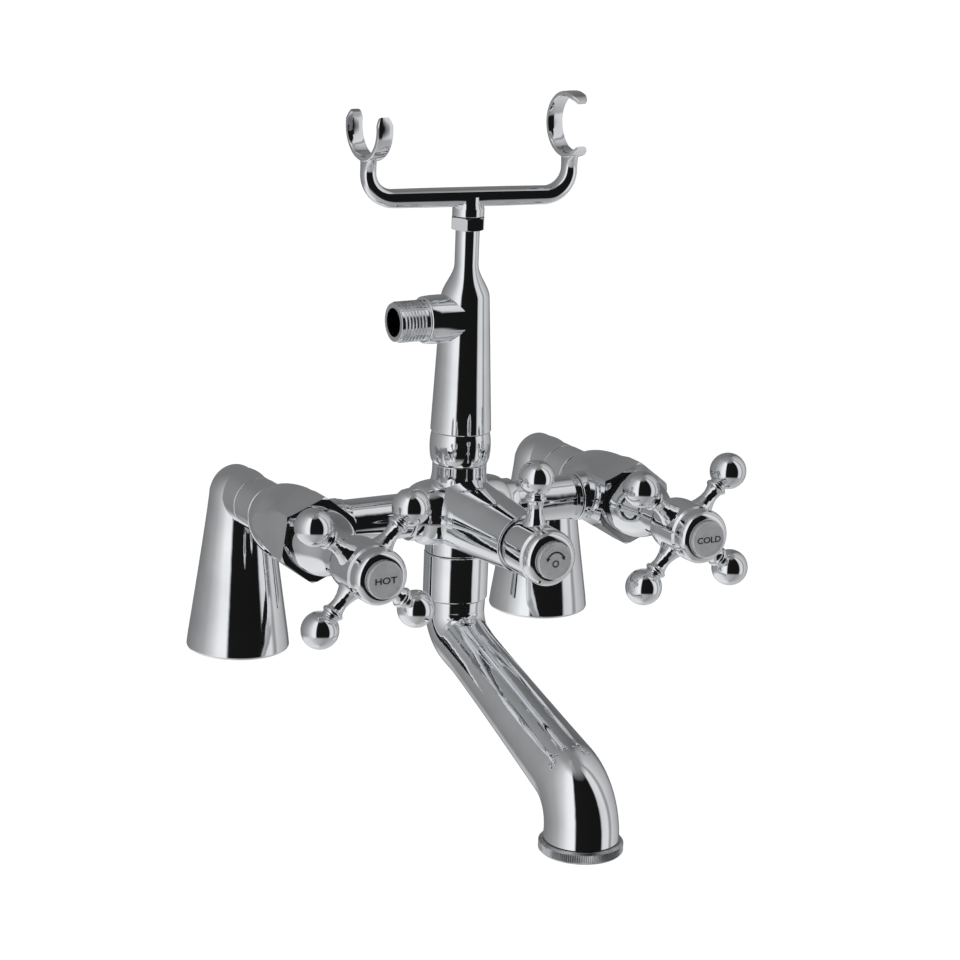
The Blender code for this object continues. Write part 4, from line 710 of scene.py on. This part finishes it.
mark = turned("diverter_mark", small_ring, mark_place @ Matrix.Translation((0.0, -0.0012, 0.0)), 48)
fitted(mark, enamel, "diverter_lever", "index")


# ---------------------------------------------------------------- spout nut and spout
# A long round brass nut holds the spout's tail to the thread under the body, so that the spout can swing.
# The spout is a bent and swelled brass tube, chromed: a tight first bend, a straight slope and a wide mouth.
RISER_PLACE = Matrix.Translation((0.0, -BODY_FORWARD, 0.0))
SPOUT_TOP = 0.0360
SPOUT_REACH = 0.1337
SPOUT_SPIGOT_R = 0.0113
SPOUT_NUT_R = 0.0165
SPOUT_NUT_LOW = SPOUT_TOP + GAP
SPOUT_NUT_TOP = 0.0603
SPOUT_NUT_SEAT = 0.0409
TUBE_R = 0.0139
TUBE_SWELL = 0.0045
TUBE_INLET_SWELL = 0.0018
CHANNEL_R = 0.0109
CHANNEL_SWELL = 0.0029
STRAIGHT_SHARE = 0.22
MOUTH_Z = -0.0470
MOUTH_BORE_R = 0.0163
MOUTH_FLOOR = -0.0389
KNEE_HEIGHT = 0.0185
KNEE_BEND_R = 0.0172
DROP_BEND_R = 0.0260
KNEE_STEPS = 14
DROP_STEPS = 16
spout_chrome = chrome_plate("spout_chrome", ripple=0.22)
nut_ring = [(SPOUT_SPIGOT_R + GAP, SPOUT_NUT_LOW), (SPOUT_NUT_R, SPOUT_NUT_LOW, 0.0007),
            (SPOUT_NUT_R, SPOUT_NUT_TOP, 0.0007), (SPOUT_THREAD_R + GAP, SPOUT_NUT_TOP),
            (SPOUT_THREAD_R + GAP, SPOUT_NUT_SEAT), (SPOUT_SPIGOT_R + GAP, SPOUT_NUT_SEAT)]
nut = turned("spout_collar_nut", nut_ring, RISER_PLACE, 112)
fitted(nut, spout_chrome, "mixer", "chrome", "spout_nut")


def drawn(name, stations, sides, place, square=0.0):
    """A closed bar through stations, each the matrix of its round section; square draws out the corners."""
    bm = bmesh.new()
    loop = bmesh.ops.create_circle(bm, cap_ends=False, segments=sides, radius=1.0)["verts"]
    for vert in loop:
        flat = max(abs(vert.co.x), abs(vert.co.y))
        vert.co *= 1.0 + square * (min(1.0 / flat, 1.30) - 1.0)
    bmesh.ops.transform(bm, matrix=stations[0], verts=loop)
    edges = list(bm.edges)
    ends = [edges]
    for before, after in zip(stations, stations[1:]):
        grown = bmesh.ops.extrude_edge_only(bm, edges=edges)["geom"]
        loop = [item for item in grown if isinstance(item, bmesh.types.BMVert)]
        edges = [item for item in grown if isinstance(item, bmesh.types.BMEdge)
                 and item.verts[0] in loop and item.verts[1] in loop]
        bmesh.ops.transform(bm, matrix=after @ before.inverted(), verts=loop)
    ends.append(edges)
    for edges in ends:
        bmesh.ops.contextual_create(bm, geom=edges)
    return made(bm, name, place)


def tube_station(point, lean, radius):
    """A tube's round section at a point, leaning forwards from straight down."""
    return (Matrix.Translation(point) @ Matrix.Rotation(-lean, 4, "X")
            @ Matrix.Diagonal((radius, radius, 1.0, 1.0)))


slope = math.radians(18)
bend = math.pi / 2 - slope
line = [(0.0, SPOUT_TOP, 0.0)]
knee_start = KNEE_HEIGHT + KNEE_BEND_R * math.tan(bend / 2)
for step in range(KNEE_STEPS + 1):
    angle = bend * step / KNEE_STEPS
    line.append((KNEE_BEND_R * (1 - math.cos(angle)), knee_start - KNEE_BEND_R * math.sin(angle), angle))
drop_height = KNEE_HEIGHT - SPOUT_REACH * math.tan(slope)
tangent = DROP_BEND_R * math.tan(bend / 2)
begin = (SPOUT_REACH - tangent * math.cos(slope), drop_height + tangent * math.sin(slope))
last = line[-1]
for share in (0.1, 0.2, 0.3, 0.4, 0.5, 0.6, 0.7, 0.8, 0.9):
    line.append((last[0] + (begin[0] - last[0]) * share, last[1] + (begin[1] - last[1]) * share, bend))
for step in range(DROP_STEPS + 1):
    angle = bend * (1 - step / DROP_STEPS)
    line.append((SPOUT_REACH - DROP_BEND_R * (1 - math.cos(angle)),
                 drop_height - tangent + DROP_BEND_R * math.sin(angle), angle))
line.append((SPOUT_REACH, MOUTH_Z, 0.0))
lengths = [0.0]
for before, after in zip(line, line[1:]):
    lengths.append(lengths[-1] + math.dist(before[:2], after[:2]))
stations = []
channel = []
for (out, high, angle), length in zip(line, lengths):
    share = length / lengths[-1]
    widening = max(0.0, (share - STRAIGHT_SHARE) / (1 - STRAIGHT_SHARE)) ** 1.3
    outside = TUBE_R + TUBE_INLET_SWELL * max(0.0, 1 - share / STRAIGHT_SHARE) + TUBE_SWELL * widening
    stations.append(tube_station((0.0, -out, high), angle, outside))
    channel.append(tube_station((0.0, -out, high), angle, CHANNEL_R + CHANNEL_SWELL * widening))
channel[0] = Matrix.Translation((0.0, 0.0, 0.0005)) @ channel[0]
channel[-1] = Matrix.Translation((0.0, 0.0, -0.0005)) @ channel[-1]
spout = drawn("spout_tube", stations, 96, RISER_PLACE)
worked(spout, drawn("channel", channel, 40, RISER_PLACE), "DIFFERENCE")
inlet = [(0.0, 0.0293), (SPOUT_SPIGOT_R + GAP, 0.0293), (SPOUT_SPIGOT_R + GAP, 0.0370), (0.0, 0.0370)]
worked(spout, turned("inlet", inlet, RISER_PLACE, 64), "DIFFERENCE")
mouth_place = RISER_PLACE @ Matrix.Translation((0.0, -SPOUT_REACH, 0.0))
mouth = [(0.0, MOUTH_Z - 0.001), (MOUTH_BORE_R, MOUTH_Z - 0.001), (MOUTH_BORE_R, MOUTH_FLOOR),
         (0.0, MOUTH_FLOOR)]
worked(spout, turned("mouth", mouth, mouth_place, 64), "DIFFERENCE")
fitted(spout, spout_chrome, "spout", "chrome", "spout")


# ---------------------------------------------------------------- aerator ring
# A satin nickel ring that screws into the mouth, knurled round its edge so that wet fingers can turn it. It
# holds the plastic straightener against a rubber washer.
AERATOR_R = 0.0206
AERATOR_TOP = MOUTH_Z - GAP
AERATOR_LOW = -0.0533
AERATOR_SLEEVE_R = MOUTH_BORE_R - GAP
AERATOR_SLEEVE_TOP = -0.0411
AERATOR_BORE_R = 0.0142
AERATOR_LIP_R = 0.0128
AERATOR_LIP = AERATOR_LOW + 0.0015
KNURLS = 120
KNURL_DEPTH = 0.00035
ring_metal = finish("aerator_satin", 1.0, ((0.42, 0.43, 0.44), (0.60, 0.61, 0.62), 300.0, 4.0),
                    (0.26, 0.42, 220.0, 3.0), (0.25, 0.0002, 500.0, 3.0, (1.0, 1.0, 0.2)))
ring = [(AERATOR_LIP_R, AERATOR_LOW), (AERATOR_R - 0.0010, AERATOR_LOW, 0.0004),
        (AERATOR_R, AERATOR_LOW + 0.0010), (AERATOR_R, AERATOR_TOP - 0.0012),
        (AERATOR_R - 0.0010, AERATOR_TOP, 0.0004), (AERATOR_SLEEVE_R, AERATOR_TOP),
        (AERATOR_SLEEVE_R, AERATOR_SLEEVE_TOP), (AERATOR_BORE_R, AERATOR_SLEEVE_TOP),
        (AERATOR_BORE_R, AERATOR_LIP), (AERATOR_LIP_R, AERATOR_LIP)]
aerator = turned("aerator_knurled_ring", ring, mouth_place, 2 * KNURLS)
bm = bmesh.new()
bm.from_mesh(aerator.data)
for vert in bm.verts:
    spoke = Vector((vert.co.x, vert.co.y + BODY_FORWARD + SPOUT_REACH))
    turn = round(math.atan2(spoke.y, spoke.x) / math.tau * 2 * KNURLS)
    if spoke.length > AERATOR_R - 0.0002 and turn % 2:
        vert.co.x -= spoke.x / spoke.length * KNURL_DEPTH
        vert.co.y -= spoke.y / spoke.length * KNURL_DEPTH
bm.to_mesh(aerator.data)
bm.free()
fitted(aerator, ring_metal, "spout", "satin_chrome", "aerator_ring")


# ---------------------------------------------------------------- riser and its coupling
# A bulbous brass coupling joins the riser to the body. The riser tapers to a soft shoulder and a slim neck,
# and carries a threaded outlet for the shower hose on its left side.
COUPLING_LOW = 0.0987
COUPLING_TOP = 0.1319
COUPLING_BORE_R = 0.0062
BULB_LOW = AXIS_HEIGHT + TOP_BOSS + GAP
BULB_TOP = 0.1236
riser_chrome = chrome_plate("riser_chrome", ripple=0.12)
coupling = [(COUPLING_BORE_R, COUPLING_LOW), (SPIGOT_R, COUPLING_LOW), *grooved(0.1022),
            (SPIGOT_R, BULB_LOW), (TOP_BOSS_R, BULB_LOW)]
coupling += bow((TOP_BOSS_R, 0.1160), (0.0017, 0.0085), -80, 42, 12)
coupling += [(0.0146, BULB_TOP), (SPIGOT_R, BULB_TOP), *grooved(0.1271), (SPIGOT_R, COUPLING_TOP),
             (COUPLING_BORE_R, COUPLING_TOP)]
fitted(turned("riser_bulb", coupling, RISER_PLACE, 112), riser_chrome, "mixer", "chrome", "riser_coupling")

RISER_LOW = BULB_TOP + GAP
RISER_R = 0.0154
RISER_FLOOR = 0.1330
SHOULDER_R = 0.0122
SHOULDER_STEPS = 12
RISER_NECK_R = 0.0060
STUD_R = 0.0040
STUD_TOP = 0.2389
OUTLET_Z = 0.1820
OUTLET_R = 0.0122
OUTLET_END = 0.0400
OUTLET_BORE_R = 0.00725
SHOULDER_Z = 0.1919
NECK_Z = 0.2089
RISER_TOP = 0.2264
THREAD_START = 0.0240
THREAD_R = 0.0098
column = [(0.0, RISER_FLOOR), (SOCKET_R, RISER_FLOOR), (SOCKET_R, RISER_LOW), (RISER_R, RISER_LOW, 0.0005),
          (SHOULDER_R, SHOULDER_Z)]
for step in range(1, SHOULDER_STEPS):
    share = step / SHOULDER_STEPS
    ease = share * share * (3 - 2 * share)
    column.append((SHOULDER_R + (RISER_NECK_R - SHOULDER_R) * ease,
                   SHOULDER_Z + (NECK_Z - SHOULDER_Z) * share))
column += [(RISER_NECK_R, NECK_Z), (RISER_NECK_R, RISER_TOP, 0.0003), (STUD_R, RISER_TOP),
           (STUD_R, STUD_TOP, 0.0004), (0.0, STUD_TOP)]
riser = turned("riser_column", column, RISER_PLACE, 112)
outlet_place = Matrix.Translation((0.0, -BODY_FORWARD, OUTLET_Z)) @ Matrix.Rotation(math.radians(-90), 4, "Y")
outlet = [(0.0, 0.0), (OUTLET_R, 0.0), (OUTLET_R, 0.0190), (0.0118, THREAD_START, 0.0010),
          (THREAD_R, THREAD_START, 0.0004), (THREAD_R, OUTLET_END, 0.0005), (0.0, OUTLET_END)]
worked(riser, turned("outlet", outlet, outlet_place, 96), "UNION")
hollow = [(0.0, 0.0), (OUTLET_BORE_R, 0.0), (OUTLET_BORE_R, OUTLET_END + 0.0010), (0.0, OUTLET_END + 0.0010)]
worked(riser, turned("outlet_bore", hollow, outlet_place, 64), "DIFFERENCE")
fitted(riser, riser_chrome, "mixer", "chrome", "riser")

# The outlet's own thread, cut before the plating, so its flanks are duller than the polished metal round it:
# seven and a half turns of a 55 degree thread at 14 to the inch.
PITCH = 0.001814
TURNS = 7.4
STEPS_A_TURN = 48
thread_metal = finish("cut_thread", 1.0, ((0.40, 0.41, 0.42), (0.66, 0.67, 0.68), 240.0, 4.0),
                      (0.16, 0.34, 300.0, 3.0), (0.20, 0.0002, 700.0, 3.0))
bm = bmesh.new()
flank = [(THREAD_R - 0.0002, -0.00072), (THREAD_R + 0.00052, -0.00012), (THREAD_R + 0.00058, 0.0),
         (THREAD_R + 0.00052, 0.00012), (THREAD_R - 0.0002, 0.00072)]
section = bm.faces.new([bm.verts.new((across, 0.0, THREAD_START + 0.0013 + high)) for across, high in flank])
bmesh.ops.spin(bm, geom=[section, *section.edges, *section.verts], cent=(0, 0, 0), axis=(0, 0, 1),
               dvec=(0, 0, PITCH / STEPS_A_TURN), angle=math.tau * TURNS, steps=int(STEPS_A_TURN * TURNS))
thread = made(bm, "outlet_thread", outlet_place)
fitted(thread, thread_metal, "mixer", "chrome")


# ---------------------------------------------------------------- lock nut
# A thin chromed hexagon nut on the riser's stud, tightened against the cradle to set which way it faces.
NUT_LOW = RISER_TOP + GAP
NUT_TOP = 0.2330
NUT_CORNER_R = 0.00925
NUT_FACE_R = 0.0082
nut_turn = Matrix.Rotation(math.radians(30), 4, "Z")
lock_nut = hexagon("lock_nut", NUT_CORNER_R, NUT_LOW, NUT_TOP, 0.0003, RISER_PLACE @ nut_turn)
dome = [(STUD_R + GAP, NUT_LOW), (NUT_FACE_R, NUT_LOW), (0.0094, NUT_LOW + 0.0007),
        (0.0094, NUT_TOP - 0.0007), (NUT_FACE_R, NUT_TOP), (STUD_R + GAP, NUT_TOP)]
worked(lock_nut, turned("nut_dome", dome, RISER_PLACE, 96), "INTERSECT")
fitted(lock_nut, riser_chrome, "mixer", "chrome", "cradle_lock_nut")


# ---------------------------------------------------------------- handset cradle
# A forged brass bar on a round boss, bent up at both ends into flat C-shaped forks that the handset lies
# in, all filed smooth and chromed as one piece.
CRADLE_LOW = NUT_TOP + GAP
CRADLE_TURN = Matrix.Rotation(math.radians(-9.4), 4, "Z")
CRADLE_BOSS_R = 0.0080
CRADLE_NECK_R = 0.0068
BAR_BEND_R = 0.0130
BAR_WIDE = 0.0045
BAR_DEEP = 0.0038
BAR_Z = 0.0094
HALF_SPAN = 0.0525
FORK_R = 0.0152
FORK_Z = 0.0447
FORK_STEPS = 48
FORK_WIDE = 0.0043
FORK_THICK = 0.0013
FORK_ASIDE = (math.cos(math.radians(12)), math.sin(math.radians(12)))
cradle_chrome = chrome_plate("cradle_chrome", ripple=0.12)
cradle_place = Matrix.Translation((0.0, -BODY_FORWARD, CRADLE_LOW)) @ CRADLE_TURN


def bar_station(point, across, through, halves):
    """A bar's section at a point: its two directions and its half sizes along them."""
    along = Vector(across).cross(Vector(through)).normalized()
    turn = Matrix((across, through, along)).transposed().to_4x4()
    return Matrix.Translation(point) @ turn @ Matrix.Diagonal((halves[0], halves[1], 1.0, 1.0))


rises = (0.0230, 0.0215, 0.0201, 0.0183, 0.0165, 0.0148, BAR_BEND_R)
flare = [(0.0104, 0.0021), (0.0092, 0.0026), (0.0079, 0.0031), (0.0064, 0.0034), (0.0054, 0.0036),
         (0.0048, 0.0037), (BAR_WIDE, BAR_DEEP)]
half_bar = [(HALF_SPAN, BAR_Z + rise, 0.0) for rise in rises]
for step in range(1, 13):
    angle = math.radians(90 * step / 12)
    half_bar.append((HALF_SPAN - BAR_BEND_R * (1 - math.cos(angle)),
                     BAR_Z + BAR_BEND_R * (1 - math.sin(angle)), angle))
half_bar += [(across, BAR_Z, math.radians(90)) for across in (0.030, 0.020, 0.010, 0.0)]
sections = []
for number, (across, high, angle) in enumerate(half_bar):
    share = min(1.0, max(0, number - 6) / 14)
    halves = flare[number] if number < len(flare) else (BAR_WIDE + 0.0015 * share, BAR_DEEP + 0.0010 * share)
    sections.append((across, high, angle, halves))
bar = []
for side, row in ((1, sections), (-1, sections[-2::-1])):
    for across, high, angle, halves in row:
        through = (side * math.cos(angle), 0.0, -math.sin(angle))
        bar.append(bar_station((side * across, 0.0, high), (0.0, 1.0, 0.0), through, halves))
cradle = drawn("cradle_bar", bar, 48, cradle_place, square=0.25)
throat_r = FORK_R - 0.0019
throat = [(0.0, -0.0086), (throat_r, -0.0086), (throat_r, 0.0086), (0.0, 0.0086)]
for x, (start, end) in ((-HALF_SPAN, (-205.0, 25.0)), (HALF_SPAN, (-308.0, -45.0))):
    strap = []
    for step in range(FORK_STEPS + 1):
        angle = math.radians(start + (end - start) * step / FORK_STEPS)
        tip = min(step, FORK_STEPS - step) / 3
        wide = FORK_WIDE * math.sqrt(min(1.0, 0.35 + 0.65 * tip))
        outwards = (math.cos(angle) * FORK_ASIDE[1], -math.cos(angle) * FORK_ASIDE[0], math.sin(angle))
        point = (x + FORK_R * outwards[0], FORK_R * outwards[1], FORK_Z + FORK_R * outwards[2])
        strap.append(bar_station(point, (*FORK_ASIDE, 0.0), outwards, (wide, FORK_THICK)))
    worked(cradle, drawn("fork", strap, 32, cradle_place, square=0.85), "UNION")
    throat_place = cradle_place @ Matrix.Translation((x, 0.0, FORK_Z)) @ ALONG_X
    worked(cradle, turned("throat", throat, throat_place, 96), "DIFFERENCE")
boss = [(0.0, 0.0), (CRADLE_BOSS_R, 0.0, 0.0005), (CRADLE_BOSS_R, 0.0040, 0.0010), (CRADLE_NECK_R, 0.0064),
        (CRADLE_NECK_R, 0.0100), (0.0, 0.0100)]
worked(cradle, turned("cradle_boss", boss, cradle_place, 96), "UNION")
hole_top = STUD_TOP + GAP - CRADLE_LOW
stud_hole = [(0.0, -0.001), (STUD_R + GAP, -0.001), (STUD_R + GAP, hole_top), (0.0, hole_top)]
worked(cradle, turned("stud_hole", stud_hole, cradle_place, 48), "DIFFERENCE")
fitted(cradle, cradle_chrome, "cradle", "chrome", "cradle")


# ---------------------------------------------------------------- parts inside
# What the mixer holds out of sight: machined brass headworks, spindles, diverter and swivel tail, lapped
# ceramic discs, black rubber seals, fibre washers, plastic inserts and steel screws. Each keeps its solid's
# shape and takes the finish of its own stuff.
STUFFS = {
    "brass": ((0.62, 0.44, 0.19), (0.78, 0.60, 0.31), 1.0, (0.22, 0.38), 160.0, 0.20),
    "rubber": ((0.014, 0.014, 0.015), (0.035, 0.035, 0.037), 0.0, (0.55, 0.80), 220.0, 0.40),
    "ceramic": ((0.80, 0.79, 0.76), (0.90, 0.89, 0.87), 0.0, (0.12, 0.24), 120.0, 0.06),
    "plastic": ((0.70, 0.70, 0.68), (0.82, 0.82, 0.80), 0.0, (0.35, 0.50), 140.0, 0.12),
    "fibre": ((0.30, 0.08, 0.05), (0.50, 0.15, 0.09), 0.0, (0.70, 0.90), 260.0, 0.60),
    "steel": ((0.48, 0.48, 0.47), (0.62, 0.62, 0.61), 1.0, (0.22, 0.36), 180.0, 0.16),
}
slots = {row["node"]: row["material_slot"] for row in frame["record"]["subparts"]}
for stuff, (dark, pale, metallic, roughness, grain, relief) in STUFFS.items():
    material = finish("inner_" + stuff, metallic, (dark, pale, grain, 4.0), (*roughness, grain * 1.7, 3.0),
                      (relief, 0.0003, grain * 4.0, 3.0))
    for node, solid in frame["nodes"].items():
        if slots[node] == stuff:
            solid.data.materials.clear()
            solid.data.materials.append(material)
